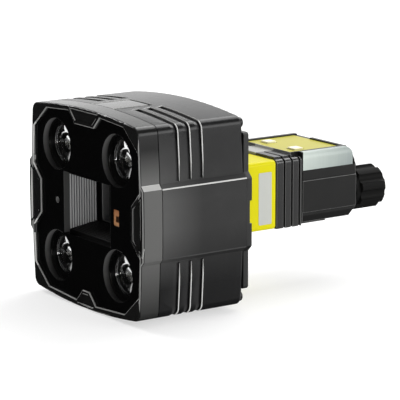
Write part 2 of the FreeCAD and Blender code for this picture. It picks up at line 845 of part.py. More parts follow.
def build_head_sensors():
    module = new_body("aimer_module", "-aimer_offset")
    revolve(module, "tube", [
        ("panel_rear", "0"), ("panel_rear", "2 * aimer_radius"),
        ("board_front", "2 * aimer_radius"), ("board_front", "0"),
    ])
    lens = new_body("aimer_lens", "-aimer_offset")
    revolve(lens, "bead", [
        ("flange_depth - aimer_bulge", "0"), ("flange_depth", "aimer_radius - window_gap"),
        ("panel_rear", "aimer_radius - window_gap"), ("panel_rear", "0"),
    ], {0: ("1.5 * aimer_radius", -1)})
    window = new_body("range_window")
    pane = front_sketch(window, "pane", "panel_front + window_set_back")
    half_width, half_height = "(range_half_width - window_gap)", "(range_half_height - window_gap)"
    rectangle(pane, f"range_offset - {half_width}", f"range_offset + {half_width}",
              f"-{half_height}", half_height)
    pad(window, "sheet", pane, "panel_rear - panel_front - window_set_back")
    sensor = new_body("range_sensor")
    block = front_sketch(sensor, "block", "panel_rear")
    half_width, half_height = "(range_half_width + range_lap)", "(range_half_height + range_lap)"
    rectangle(block, f"range_offset - {half_width}", f"range_offset + {half_width}",
              f"-{half_height}", half_height)
    pad(sensor, "case", block, "board_front - panel_rear")


def build_front_cover():
    body = new_body("front_cover")
    outer = front_sketch(body, "outer", "plate_rear")
    rectangle(outer, "-reader_half", "reader_half", "-cover_bottom", "cover_top")
    pad(body, "block", outer, "cover_rear - plate_rear")
    round_edges(body, "corners", along_depth, "cover_round")
    cavity = front_sketch(body, "cavity", "plate_rear")
    rectangle(cavity, "-(reader_half - cover_wall)", "reader_half - cover_wall",
              "-(cover_bottom - cover_wall)", "cover_top - cover_wall")
    pocket(body, "hollow", cavity, "cover_rear - cover_wall - plate_rear")
    port = front_sketch(body, "port", "plate_rear")
    circle(port, "0", "0", "barrel_rear_radius + fit_gap")
    pocket(body, "port_bore", port, "cover_rear - plate_rear")


def gasket(label, depth, half, low, high):
    """A flat ring, drawn in from the outline of the two parts that it seals."""
    body = new_body(label)
    ring = front_sketch(body, "ring", depth)
    rectangle(ring, f"-({half} - gasket_inset)", f"{half} - gasket_inset",
              f"-({low} - gasket_inset)", f"{high} - gasket_inset")
    rectangle(ring, "-cavity_half", "cavity_half", "-cavity_bottom", "cavity_top")
    pad(body, "sheet", ring, "gasket_thick")
    return body


def shell_screw_circles(sketch, radius):
    for across in ("-shell_screw_across", "shell_screw_across"):
        for up in ("-shell_screw_low", "shell_screw_high"):
            circle(sketch, across, up, radius)


def build_gaskets():
    gasket("cover_gasket", "cover_rear", "reader_half", "cover_bottom", "cover_top")
    low = "base_drop - base_thick - fit_gap + gasket_inset"
    rear = gasket("housing_gasket", "sink_rear", "shell_half", low, "tongue_under")
    holes = front_sketch(rear, "screw_holes", "sink_rear")
    shell_screw_circles(holes, "shell_screw_shank + screw_gap")
    pocket(rear, "screw_bores", holes, "gasket_thick")


def build_heat_sink():
    body = new_body("heat_sink")
    front = "(cover_rear + gasket_thick)"
    outer = front_sketch(body, "outer", front)
    rectangle(outer, "-reader_half", "reader_half", "-base_drop", "sink_top")
    pad(body, "block", outer, f"sink_rear - {front}")
    round_edges(body, "corners", lambda edge: along_depth(edge) and edge.CenterOfMass.z > 0, "sink_round")
    base = front_sketch(body, "base", "sink_rear - overcut")
    rectangle(base, "-base_half", "base_half", "-base_drop", "base_thick - base_drop")
    pad(body, "base_plate", base, "base_rear - sink_rear + overcut")
    cavity = front_sketch(body, "cavity", front)
    rectangle(cavity, "-cavity_half", "cavity_half", "-cavity_bottom", "cavity_top")
    pocket(body, "hollow", cavity, f"sensor_board_front + board_thick - {front}")
    inner = front_sketch(body, "inner", "sensor_board_front")
    rectangle(inner, "-(cavity_half - sensor_ledge)", "cavity_half - sensor_ledge",
              "-(cavity_bottom - sensor_ledge)", "cavity_top - sensor_ledge")
    pocket(body, "inner_hollow", inner, "sink_rear - sensor_board_front")
    ledge = front_sketch(body, "ledge", "tongue_front - fit_gap")
    rectangle(ledge, "-(tongue_half + fit_gap)", "tongue_half + fit_gap",
              "tongue_under", "sink_top + overcut")
    pocket(body, "ledge_cut", ledge, "sink_rear - tongue_front + fit_gap")
    sink_grooves(body)
    screw_holes = front_sketch(body, "screw_holes", "sink_rear - shell_screw_grip")
    shell_screw_circles(screw_holes, "shell_screw_shank + screw_gap")
    pocket(body, "screw_bores", screw_holes, "shell_screw_grip")
    taps = new_sketch(body, "taps", "XY_Plane", "-base_drop")
    for along in ("mount_depth - mount_spacing_y / 2", "mount_depth + mount_spacing_y / 2"):
        for across in ("-mount_spacing_x / 2", "mount_spacing_x / 2"):
            circle(taps, across, along, "mount_hole / 2")
    before = body.Shape.Volume
    holes = body.newObject("PartDesign::Hole", "heat_sink_tapped_holes")
    holes.Profile = taps
    holes.DepthType = "Dimension"
    holes.DrillPoint = "Flat"
    holes.Reversed = True
    bind(holes, "Diameter", "mount_hole")
    bind(holes, "Depth", "mount_hole_depth")
    doc.recompute()
    assert body.Shape.Volume < before, "the tapped holes cut nothing"


def sink_grooves(body):
    """Cooling grooves up both sides and over the shoulders, stopping at the smooth pad on top."""
    groove = front_sketch(body, "groove", "sink_groove_first")
    floor = "sink_top - sink_groove_depth"
    above, below = "sink_top + overcut", "-base_drop - overcut"
    for hand, pad_edge in ((1, "sink_pad_right"), (-1, "-sink_pad_left")):
        inner = f"{hand} * (reader_half - sink_groove_depth)"
        outer = f"{hand} * (reader_half + overcut)"
        outline(groove, [
            (pad_edge, floor), (inner, floor), (inner, below),
            (outer, below), (outer, above), (pad_edge, above),
        ])
    cut = pocket(body, "groove_cut", groove, "sink_groove_width")
    along_row(body, "grooves", cut, "Y_Axis", "2 * sink_groove_pitch", 3)


def build_rear_housing():
    body = new_body("rear_housing")
    front = "(sink_rear + gasket_thick)"
    inside = f"(heel_front - shell_end_wall / 2 - {front})"
    outer = front_sketch(body, "outer", front)
    rectangle(outer, "-shell_half", "shell_half", "-shell_bottom", "shell_top")
    pad(body, "block", outer, f"shell_rear - {front}")
    sides = front_sketch(body, "sides", front)
    rectangle(sides, "-(shell_half + side_rise)", "shell_half + side_rise", "-side_bottom", "side_top")
    pad(body, "side_pads", sides, f"shell_rear - {front}")
    shape_shell_ends(body)
    tongue = front_sketch(body, "tongue", "tongue_front")
    rectangle(tongue, "-tongue_half", "tongue_half", "tongue_under", "shell_top")
    pad(body, "tongue_pad", tongue, f"{front} - tongue_front + overcut")
    cavity = front_sketch(body, "cavity", front)
    rectangle(cavity, "-(shell_half - shell_wall)", "shell_half - shell_wall",
              "-(shell_bottom - shell_wall)", CEILING)
    pocket(body, "hollow", cavity, inside)
    rails = front_sketch(body, "rails", front)
    for hand in (1, -1):
        ends = (f"{hand} * (main_board_half - rail_lap)", f"{hand} * (shell_half - shell_wall / 2)")
        rectangle(rails, *sorted(ends, key=size), "main_board_top - board_thick - rail_thick",
                  "main_board_top - board_thick")
    pad(body, "rail_pads", rails, inside)
    bosses = new_sketch(body, "key_bosses", "XY_Plane", "key_board_top")
    for across in (1, -1):
        for along in ("key_board_front + key_boss", "key_board_rear - key_boss"):
            circle(bosses, f"{across} * (key_board_half - key_boss)", along, "key_boss")
    pad(body, "key_boss_posts", bosses, f"{CEILING} - key_board_top + shell_wall / 2", back=False)
    foot = front_sketch(body, "foot", front)
    rectangle(foot, "-(base_half + fit_gap)", "base_half + fit_gap",
              "-base_drop - overcut", "base_thick - base_drop + fit_gap")
    pocket(body, "foot_cut", foot, f"base_rear + fit_gap - {front}")
    windows = front_sketch(body, "windows", "window_front")
    for hand in (1, -1):
        ends = (f"{hand} * window_inner", f"{hand} * (reader_half + overcut)")
        rectangle(windows, *sorted(ends, key=size), "window_bottom", "shell_top + overcut")
    pocket(body, "window_cuts", windows, "window_rear - window_front")
    label_seat_and_ports(body)


def shape_shell_ends(body):
    """The rounded crown and the sloping heel at the back, seen from the side."""
    profile = new_sketch(body, "ends", "YZ_Plane", "-2 * reader_half")
    behind, above, below = "shell_rear + overcut", "shell_top + overcut", "-shell_bottom - overcut"
    outline(profile, [
        ("shell_rear", "shell_top - crown_height"), (behind, "shell_top - crown_height"), (behind, above),
        ("shell_rear - crown_depth", above), ("shell_rear - crown_depth", "shell_top"),
    ], {4: ("crown_radius", -1)})
    outline(profile, [
        ("heel_front", "-shell_bottom"), ("heel_front", below), (behind, below),
        (behind, "heel_height - shell_bottom"), ("shell_rear", "heel_height - shell_bottom"),
    ])
    pocket(body, "end_cuts", profile, "4 * reader_half", back=False)


def label_seat_and_ports(body):
    above = "shell_top + overcut"
    label = new_sketch(body, "label", "XY_Plane", above)
    rectangle(label, "-(label_half + fit_gap)", "label_half + fit_gap",
              "label_front - fit_gap", "label_rear + fit_gap")
    pocket(body, "label_seat", label, "overcut + label_sunk + label_thick")
    notch = new_sketch(body, "notch", "XY_Plane", above)
    rectangle(notch, "-(label_half + fit_gap)", "-rim_notch_from", "label_rear", "shell_rear + overcut")
    pocket(body, "rim_notch", notch, "overcut + label_sunk")
    buttons = new_sketch(body, "buttons", "XY_Plane", above)
    button_windows(buttons)
    pocket(body, "button_holes", buttons, f"{above} - {CEILING}")
    back = "(heel_front - shell_end_wall)"
    ports = front_sketch(body, "ports", back)
    for across in ("-connector_offset", "connector_offset"):
        circle(ports, across, "-connector_drop", "connector_body + fit_gap")
    pocket(body, "port_bores", ports, f"shell_rear - {back}")
    screw_holes = front_sketch(body, "screw_holes", "sink_rear")
    shell_screw_circles(screw_holes, "shell_screw_shank + screw_gap")
    pocket(body, "screw_bores", screw_holes, "shell_rear - sink_rear")


def build_indicators():
    for hand, side in ((1, "right"), (-1, "left")):
        body = new_body(f"indicator_{side}")
        section = front_sketch(body, "section", "window_front")
        inner, outer = f"{hand} * window_inner", f"{hand} * shell_half"
        wall = f"{hand} * (shell_half - window_wall)"
        shoulder = f"{hand} * (window_inner + window_shoulder)"
        outline(section, [
            (inner, "shell_top"), (inner, "shell_top - window_wall"),
            (wall, "shell_top - window_wall - window_slope"), (wall, "window_bottom"),
            (outer, "window_bottom"), (outer, "shell_top - shell_round"), (shoulder, "shell_top"),
        ], {5: ("window_round", hand)})
        pad(body, "bar", section, "window_rear - window_front")
        corner = new_sketch(body, "corner", "YZ_Plane", "-2 * reader_half")
        start, behind = "window_rear - window_round", "window_rear + overcut"
        above = "shell_top + overcut"
        outline(corner, [
            ("window_rear", "shell_top - window_round"), (behind, "shell_top - window_round"),
            (behind, above), (start, above), (start, "shell_top"),
        ], {4: ("window_round", -1)})
        pocket(body, "corner_cut", corner, "4 * reader_half", back=False)


def button_windows(sketch):
    reach = "(button_half + button_gap)"
    for across in ("-button_offset", "button_offset"):
        rectangle(sketch, f"{across} - {reach}", f"{across} + {reach}",
                  f"button_depth - {reach}", f"button_depth + {reach}")


def build_label_and_keys():
    label = new_body("top_label")
    seat = "(shell_top - label_sunk - label_thick)"
    sheet = new_sketch(label, "sheet", "XY_Plane", seat)
    rectangle(sheet, "-label_half", "label_half", "label_front", "label_rear")
    button_windows(sheet)
    pad(label, "film", sheet, "label_thick", back=False)
    flange_top = f"({CEILING} - move_gap)"
    crown = f"({seat} + label_thick + button_proud)"
    for name, across in (("trigger_button", "button_offset"), ("tune_button", "-button_offset")):
        button = new_body(name, across, "button_depth - mount_depth")
        flange = new_sketch(button, "flange", "XY_Plane", f"{flange_top} - button_flange_thick")
        circle(flange, "0", "0", "button_flange")
        pad(button, "flange_disc", flange, "button_flange_thick", back=False)
        stem = new_sketch(button, "stem", "XY_Plane", flange_top)
        octagon(stem, "button_half", "button_half", "button_corner", rounded=True)
        pad(button, "stem_post", stem, f"{crown} - {flange_top}", back=False)
        round_edges(button, "crown", lambda edge: edge.CenterOfMass.z > size(crown) - TINY, "button_round")
    keys = new_body("key_board")
    sheet = new_sketch(keys, "sheet", "XY_Plane", "key_board_top - board_thick")
    rectangle(sheet, "-key_board_half", "key_board_half", "key_board_front", "key_board_rear")
    pad(keys, "plate", sheet, "board_thick", back=False)
    switches = new_sketch(keys, "switches", "XY_Plane", "key_board_top")
    for across in ("-button_offset", "button_offset"):
        rectangle(switches, f"{across} - switch_half", f"{across} + switch_half",
                  "button_depth - switch_half", "button_depth + switch_half")
    room = "(button_flange_thick + button_travel + move_gap)"
    pad(keys, "switch_bodies", switches, f"{flange_top} - {room} - key_board_top", back=False)
    lamps = new_body("indicator_lamps")
    blocks = new_sketch(lamps, "blocks", "XY_Plane", "key_board_top")
    for hand in (1, -1):
        for index in range(int(size("lamp_count"))):
            x, y = f"{hand} * (key_board_half - lamp_size)", f"(lamp_first + {index} * lamp_pitch)"
            rectangle(blocks, f"{x} - lamp_size / 2", f"{x} + lamp_size / 2",
                      f"{y} - lamp_size / 2", f"{y} + lamp_size / 2")
    pad(lamps, "lamp_bodies", blocks, "lamp_size", back=False)


def build_optics():
    barrel_body = new_body("lens_barrel")
    seat = "(cover_rear - cover_wall)"
    step = f"({seat} - barrel_flange_thick)"
    revolve(barrel_body, "tube", [
        ("barrel_front", "barrel_bore"), ("barrel_front", "barrel_radius"),
        ("focus_front", "barrel_radius"), ("focus_front", "focus_radius"),
        ("focus_rear", "focus_radius"), ("focus_rear", "barrel_rear_radius"),
        (step, "barrel_rear_radius"), (step, "barrel_flange"), (seat, "barrel_flange"),
        (seat, "barrel_rear_radius"), ("barrel_rear", "barrel_rear_radius"),
        ("barrel_rear", "barrel_bore"),
    ])
    glass = new_body("objective_glass")
    rim_front = "(barrel_front + objective_bulge)"
    arc = "(barrel_bore ^ 2 + objective_bulge ^ 2) / (2 * objective_bulge)"
    rear = f"({rim_front} + objective_thick)"
    revolve(glass, "element", [
        ("barrel_front", "0"), (rim_front, "barrel_bore"), (rear, "barrel_bore"), (rear, "0"),
    ], {0: (arc, -1)})
    sensor = new_body("image_sensor")
    chip = front_sketch(sensor, "chip", "sensor_board_front - chip_thick")
    centred(chip, "chip_half", "chip_half")
    pad(sensor, "case", chip, "chip_thick")
    carrier = new_body("sensor_board")
    sheet = front_sketch(carrier, "sheet", "sensor_board_front")
    rectangle(sheet, "-(cavity_half - fit_gap)", "cavity_half - fit_gap",
              "-(cavity_bottom - fit_gap)", "cavity_top - fit_gap")
    pad(carrier, "plate", sheet, "board_thick")
    main = new_body("processor_board")
    sheet = new_sketch(main, "sheet", "XY_Plane", "main_board_top - board_thick")
    rectangle(sheet, "-main_board_half", "main_board_half", "main_board_front", "main_board_rear")
    pad(main, "plate", sheet, "board_thick", back=False)
    chips = new_sketch(main, "chips", "XY_Plane", "main_board_top")
    middle = "(main_board_front + main_board_rear) / 2"
    for across, half in (("-processor_half", "processor_half"), ("memory_offset", "memory_half")):
        rectangle(chips, f"{across} - {half}", f"{across} + {half}",
                  f"{middle} - {half}", f"{middle} + {half}")
    pad(main, "chip_cases", chips, "chip_thick", back=False)


def build_connectors():
    for hand, side in ((1, "right"), (-1, "left")):
        place = (f"{hand} * connector_offset", "-mount_depth", "base_drop - connector_drop")
        flange_rear = "(shell_rear + connector_flange_thick)"
        shell = new_body(f"connector_{side}", *place)
        revolve(shell, "shell", [
            ("connector_inner", "socket_radius"), ("connector_inner", "connector_body"),
            ("shell_rear", "connector_body"), ("shell_rear", "connector_flange"),
            (flange_rear, "connector_flange"), (flange_rear, "thread_radius"),
            ("thread_rear", "thread_radius"), ("thread_rear", "socket_radius"),
        ])
        insert = new_body(f"connector_insert_{side}", *place)
        revolve(insert, "core", [
            ("connector_inner", "0"), ("connector_inner", "socket_radius"),
            ("insert_face", "socket_radius"), ("insert_face", "0"),
        ])
        contacts = new_body(f"contacts_{side}", *place)
        pins = front_sketch(contacts, "pins", "insert_face")
        circle(pins, "0", "0", "contact_radius")
        count = int(size("contact_count"))
        for index in range(count):
            turn = f"{360 * (index + 0.5) / count:.3f}"
            x, z = f"contact_circle * cos({turn})", f"contact_circle * sin({turn})"
            circle(pins, x, z, "contact_radius")
        pad(contacts, "pin_pads", pins, "contact_length")
        seal = new_body(f"cap_seal_{side}", *place)
        seal_front = f"({flange_rear} + move_gap)"
        revolve(seal, "ring", [
            (seal_front, "seal_inner"), (seal_front, "seal_outer"),
            (f"{seal_front} + seal_thick", "seal_outer"), (f"{seal_front} + seal_thick", "seal_inner"),
        ])
        build_cap(new_body(f"cap_{side}", *place))


def build_cap(body):
    """Closed screw cap with a neck and eight hollow sides for the fingers."""
    revolve(body, "turned", [
        ("cap_front", "cap_seat"), ("cap_front", "cap_neck"), ("flute_front", "cap_neck"),
        ("flute_front", "cap_radius"), ("cap_rear - cap_round", "cap_radius"),
        ("cap_rear", "cap_radius - cap_round"), ("cap_rear", "0"), ("cap_bore_rear", "0"),
        ("cap_bore_rear", "cap_bore"), ("cap_front + cap_seat_depth", "cap_bore"),
        ("cap_front + cap_seat_depth", "cap_seat"),
    ])
    flute = front_sketch(body, "flute", "flute_front")
    circle(flute, "flute_offset * cos(flute_turn)", "flute_offset * sin(flute_turn)", "flute_radius")
    cut = pocket(body, "flute_cut", flute, "cap_rear - flute_front")
    round_axis(body, "flutes", cut, "Y_Axis", "flute_count")


def screws(label, places, seat, head, thick, shank, length):
    """Screws whose heads stand behind the face at seat, with shanks that run forward from it."""
    body = new_body(label)
    heads = front_sketch(body, "heads", seat)
    shanks = front_sketch(body, "shanks", seat)
    for x, z in places:
        circle(heads, x, z, head)
        circle(shanks, x, z, shank)
    pad(body, "head_pads", heads, thick)
    pad(body, "shank_pads", shanks, length, back=False)


def build_screws():
    plate_places = [(f"{across} * plate_screw_offset", f"{up} * plate_screw_offset")
                    for across in (1, -1) for up in (1, -1)]
    screws("rear_plate_screws", plate_places, "plate_rear", "plate_screw_head", "plate_screw_thick",
           "plate_screw_shank", "plate_screw_length")
    shell_places = [(f"{across} * shell_screw_across", height)
                    for across in (1, -1) for height in ("shell_screw_high", "-shell_screw_low")]
    screws("rear_housing_screws", shell_places, "shell_rear", "shell_screw_head", "shell_screw_thick",
           "shell_screw_shank", "shell_rear - sink_rear + shell_screw_grip - screw_gap")


build_front_frame()
build_head_housing()
build_rear_plate()
build_front_panel()
build_light_units()
build_emitters()
build_head_boards()
build_hood()
build_nose()
build_head_sensors()
build_front_cover()
build_gaskets()
build_heat_sink()
build_rear_housing()
build_indicators()
build_label_and_keys()
build_optics()
build_connectors()
build_screws()

doc.recompute()
bodies = [item for item in doc.Objects if item.TypeId == "PartDesign::Body"]
for item in doc.Objects:
    assert not {"Invalid", "Error"} & set(item.State), f"{item.Name} failed"
for body in bodies:
    assert not body.Shape.isNull() and body.Shape.isValid(), f"{body.Label} has no valid shape"

os.makedirs("parts", exist_ok=True)
for body in bodies:
    body.Shape.exportStep(f"parts/{body.Label}.step")
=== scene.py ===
import json
import math

import bmesh
import bpy
from mathutils import Matrix, Vector

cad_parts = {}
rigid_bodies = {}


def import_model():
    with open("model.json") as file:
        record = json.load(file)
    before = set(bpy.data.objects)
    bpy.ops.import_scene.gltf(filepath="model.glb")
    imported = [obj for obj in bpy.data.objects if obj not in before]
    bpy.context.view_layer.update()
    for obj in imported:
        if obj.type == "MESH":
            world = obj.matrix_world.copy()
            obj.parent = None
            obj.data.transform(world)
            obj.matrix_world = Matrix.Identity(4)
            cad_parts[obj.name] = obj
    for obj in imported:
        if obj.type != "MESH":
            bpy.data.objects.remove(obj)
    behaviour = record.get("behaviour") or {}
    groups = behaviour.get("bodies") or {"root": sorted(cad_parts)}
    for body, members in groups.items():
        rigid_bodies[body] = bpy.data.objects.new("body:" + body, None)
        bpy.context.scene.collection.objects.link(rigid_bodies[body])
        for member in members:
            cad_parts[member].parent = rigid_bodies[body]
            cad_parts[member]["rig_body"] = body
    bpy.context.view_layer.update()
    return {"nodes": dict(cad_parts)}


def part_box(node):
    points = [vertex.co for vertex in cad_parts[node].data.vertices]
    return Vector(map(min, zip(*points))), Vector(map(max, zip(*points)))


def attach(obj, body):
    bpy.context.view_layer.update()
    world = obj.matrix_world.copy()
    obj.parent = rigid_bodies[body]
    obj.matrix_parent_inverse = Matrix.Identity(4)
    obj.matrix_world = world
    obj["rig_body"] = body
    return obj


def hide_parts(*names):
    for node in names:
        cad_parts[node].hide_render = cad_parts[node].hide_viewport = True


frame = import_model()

nodes = frame["nodes"]
scene = bpy.context.scene
mm = 0.001
headFront = -0.1245  # front plane of the head
headAxis = 0.020     # optical axis
print("frame loaded:", len(nodes), "nodes")


def at(x, y, z):  # millimetres behind the head's front and off its axis, to the shared frame
    return Vector((x * mm, y * mm + headFront, z * mm + headAxis))


def linkPiece(name, mesh, material=None):
    piece = bpy.data.objects.new(name, mesh)
    scene.collection.objects.link(piece)
    if material:
        mesh.materials.clear()
        mesh.materials.append(material)
    return piece


def bakeModifiers(piece):
    result = piece.evaluated_get(bpy.context.evaluated_depsgraph_get())
    piece.data = bpy.data.meshes.new_from_object(result)
    piece.modifiers.clear()


def markSharp(mesh, degrees):  # smooth shading, split where two faces turn by more than this
    work = bmesh.new()
    work.from_mesh(mesh)
    for edge in work.edges:
        edge.smooth = edge.calc_face_angle(math.pi) < math.radians(degrees)
    for face in work.faces:
        face.smooth = True
    work.to_mesh(mesh)
    work.free()


# camera

cameraLook = {
    "azimuth": 55.198, "elevation": 11.889, "roll": -0.096,
    "focal": 2318.8, "picture": 400,  # both in pixels
    "sensor": 36, "far": 20,
    "away": 1.24549, "right": 0.06235, "up": 0.00506,
}


def setCamera(look):
    az, el, roll = (math.radians(look[key]) for key in ("azimuth", "elevation", "roll"))
    back = Vector((math.sin(az) * math.cos(el), -math.cos(az) * math.cos(el), math.sin(el)))
    flat = Vector((math.cos(az), math.sin(az), 0))
    rise = back.cross(flat)
    right = flat * math.cos(roll) + rise * math.sin(roll)
    up = rise * math.cos(roll) - flat * math.sin(roll)
    data = bpy.data.cameras.new("photoCamera")
    data.sensor_width = look["sensor"]
    data.lens = look["focal"] / look["picture"] * look["sensor"]
    data.clip_end = look["far"]
    camera = bpy.data.objects.new("photoCamera", data)
    turn = Matrix((right, up, back)).transposed().to_4x4()
    spot = at(0, 0, 0) + back * look["away"] + right * look["right"] + up * look["up"]
    camera.matrix_world = Matrix.Translation(spot) @ turn
    scene.collection.objects.link(camera)
    scene.camera = camera


setCamera(cameraLook)
scene.view_settings.view_transform = "Standard"
print("camera set")


# shader maths

class Tone:
    def __init__(self, tree, socket):
        self.tree = tree
        self.socket = socket

    def node(self, kind, settings=None, sockets=None, out=0):
        made = self.tree.nodes.new(kind)
        for key, value in (settings or {}).items():
            setattr(made, key, value)
        for key, value in (sockets or {}).items():
            if isinstance(value, Tone):
                self.tree.links.new(value.socket, made.inputs[key])
            else:
                made.inputs[key].default_value = value
        return Tone(self.tree, made.outputs[out])

    def maths(self, operation, first, second=0.0):
        return self.node("ShaderNodeMath", {"operation": operation}, {0: first, 1: second})

    def __add__(self, other):
        return self.maths("ADD", self, other)

    def __radd__(self, other):
        return self.maths("ADD", other, self)

    def __sub__(self, other):
        return self.maths("SUBTRACT", self, other)

    def __rsub__(self, other):
        return self.maths("SUBTRACT", other, self)

    def __mul__(self, other):
        return self.maths("MULTIPLY", self, other)

    def __rmul__(self, other):
        return self.maths("MULTIPLY", other, self)

    def __gt__(self, other):
        return self.maths("GREATER_THAN", self, other)

    def __lt__(self, other):
        return self.maths("LESS_THAN", self, other)

    def __abs__(self):
        return self.maths("ABSOLUTE", self)

    def noise(self, size, detail=2.0, rough=0.5):  # size of a speck in millimetres
        return self.node("ShaderNodeTexNoise", {}, {
            "Vector": self, "Scale": 1 / (size * mm), "Detail": detail, "Roughness": rough})

    def ramp(self, stops):  # two stops, each a place and a grey level
        made = self.node("ShaderNodeValToRGB", {}, {"Fac": self})
        for stop, (place, level) in zip(made.socket.node.color_ramp.elements, stops):
            stop.position = place
            stop.color = grey(level)
        return made

    def mix(self, dark, light):  # two colours by this value
        return self.node("ShaderNodeMix", {"data_type": "RGBA"}, {0: self, 6: dark, 7: light}, out=2)

    def axis(self, which):
        return self.node("ShaderNodeSeparateXYZ", {}, {0: self}, out="XYZ".index(which))

    def share(self, low, high):  # 0 to 1 between two values
        return self.node("ShaderNodeMapRange", {}, {"Value": self, "From Min": low, "From Max": high})

    def stretch(self, x, y, z):
        return self.node("ShaderNodeMapping", {}, {"Vector": self, "Scale": (x, y, z)})


class Finish:  # a material with one Principled shader
    words = {"Ior": "IOR", "Specular": "Specular IOR Level"}

    def __init__(self, name, **constants):
        self.material = bpy.data.materials.new(name)
        self.material.use_nodes = True
        self.tree = self.material.node_tree
        self.shader = self.tree.nodes["Principled BSDF"]
        for key, value in constants.items():
            self.entry(key).default_value = value
        source = self.tree.nodes.new("ShaderNodeTexCoord")
        self.place = Tone(self.tree, source.outputs["Object"])

    def entry(self, key):  # the shader's socket for a keyword
        label = " ".join(part.capitalize() for part in key.split("_"))
        return self.shader.inputs[self.words.get(label, label)]

    def feed(self, **links):
        for key, value in links.items():
            self.tree.links.new(value.socket, self.entry(key))

    def across(self):  # this and the next two in millimetres
        return self.place.axis("X") * (1 / mm)

    def depth(self):
        return (self.place.axis("Y") - headFront) * (1 / mm)

    def rise(self):
        return (self.place.axis("Z") - headAxis) * (1 / mm)

    def bump(self, height, depth, strength=1.0):  # depth in millimetres
        made = self.place.node("ShaderNodeBump", {}, {
            "Height": height, "Distance": depth * mm, "Strength": strength})
        self.feed(normal=made)


def rgb(red, green, blue):
    return (red, green, blue, 1)


def grey(level):
    return (level, level, level, 1)


# finishes that many pieces share

def mouldedPlastic(name, dark, light, rough, grain, depth, specular=0.5):
    made = Finish(name, specular=specular)
    cloud = made.place.noise(14, 3)
    specks = made.place.noise(grain, 2, 0.6)
    made.feed(base_color=(cloud * 0.6 + specks * 0.4).mix(dark, light))
    made.feed(roughness=rough - 0.06 + 0.12 * specks + 0.05 * cloud)
    made.bump(specks, depth, 0.5)
    return made.material


def glossPlastic(name, dark, light, rough, specular=0.5):
    made = Finish(name, specular=specular)
    wave = made.place.noise(6, 1)
    dust = made.place.noise(0.35, 2, 0.7)
    made.feed(base_color=(wave * 0.5 + dust * 0.5).mix(dark, light))
    made.feed(roughness=rough + 0.06 * wave + 0.04 * dust)
    made.bump(wave, 0.006, 0.3)
    return made.material


def turnedMetal(name, dark, light, rough):
    made = Finish(name, metallic=1.0)
    lines = made.place.noise(0.25, 3, 0.7)
    cloud = made.place.noise(5, 2)
    made.feed(base_color=(lines * 0.5 + cloud * 0.5).mix(dark, light))
    made.feed(roughness=rough + 0.12 * lines)
    made.bump(lines, 0.008, 0.4)
    return made.material


def clearPlastic(name, tint, ior, rough):
    made = Finish(name, transmission_weight=1.0, ior=ior, base_color=tint)
    dust = made.place.noise(1.2, 2, 0.6)
    made.feed(roughness=rough + 0.03 * dust)
    return made.material


def boardFinish(name, mask, track):
    made = Finish(name, specular=0.5)
    grid = made.place.node("ShaderNodeTexVoronoi", {"distance": "MANHATTAN"}, {
        "Vector": made.place, "Scale": 1 / (2.4 * mm)})
    tracks = grid.ramp([(0.30, 0.0), (0.34, 1.0)])
    made.feed(base_color=tracks.mix(track, mask), roughness=0.35 + 0.15 * tracks)
    made.bump(tracks, 0.02, 0.5)
    return made.material


# finishes of single pieces, with the places where they change in millimetres

hoodLook = {"lean": 1.49, "ribsFrom": 5.2, "ribsLong": 13.6, "ribs": 11}


def hoodFinish(name, look):  # side walls of the funnel are ribbed, with painted light on them and painted light and shade across the ribs; floor and roof carry painted shade
    made = Finish(name, specular=.25)
    specks = made.place.noise(.25, 2, .6)
    shadedFloorAndRoof = abs(made.rise()) * look["lean"] > abs(made.across())
    turns = (made.depth() - look["ribsFrom"]) * (look["ribs"] / look["ribsLong"])
    crest = abs(turns.maths("FRACT", turns) - .5) * 2
    # painted light and shade across the ribs of the side walls
    wall = (crest * crest * .9 + specks * .1).mix(grey(.58), grey(.03))
    # painted shade on the floor and roof
    made.feed(base_color=shadedFloorAndRoof.mix(wall, grey(.001)), roughness=.46 + .12 * specks)
    made.bump(specks, .02, .5)
    return made.material


panelLook = {
    "mouthInner": 22.9, "mouthOuter": 23.4, "mouthHigh": 17.1,  # side walls of the mouth
    "holeAcross": 30.1, "holeUp": 31.1, "holeRadius": 14.28, "holeShade": (-15, 9), "holeDepth": (3, 5.4),
    "aimerLeft": 30, "aimerRadius": 1.75,
}


def panelFinish(name, look):  # gloss black face, with painted light on the matt walls of the mouth and the light holes, paler towards each hole's top and front, and a pale aimer hole
    made = Finish(name, specular=.12)
    dust = made.place.noise(.35, 2, .7)
    across, depth, rise = made.across(), made.depth(), made.rise()
    x, z = abs(across), abs(rise)
    mouthSide = (x < look["mouthOuter"]) * (x > look["mouthInner"]) * (z < look["mouthHigh"])
    fromX, fromZ = x - look["holeAcross"], z - look["holeUp"]
    lightHole = fromX * fromX + fromZ * fromZ < look["holeRadius"] ** 2
    upper = (rise - look["holeUp"] * rise.maths("SIGN", rise)).share(*look["holeShade"])
    front = 1 - depth.share(*look["holeDepth"])
    fromAimer = across + look["aimerLeft"]
    aimerHole = fromAimer * fromAimer + rise * rise < look["aimerRadius"] ** 2
    # painted light on the mouth's side walls and the light holes' walls, and a pale aimer hole
    inside = mouthSide * .5 + lightHole * (.12 + .88 * upper) * (.3 + .7 * front) + aimerHole * 1.6
    black = dust.mix(rgb(.0010, .0010, .0011), rgb(.0022, .0022, .0023))
    made.feed(base_color=(inside * .5).mix(black, rgb(.24, .24, .235)))
    made.feed(roughness=.08 + .05 * dust + .4 * inside)
    made.bump(made.place.noise(7, 1), .005, .3)
    return made.material


headLook = {
    "padHalf": 9.7, "padBack": 35.6, "slopeOut": 52.5, "slopeAt": 20.2, "slopeHalf": 1.2,
    "sideOut": 46, "paleTop": (12, 46), "paleFoot": (-36, -4), "paleBack": (13, 38),
}


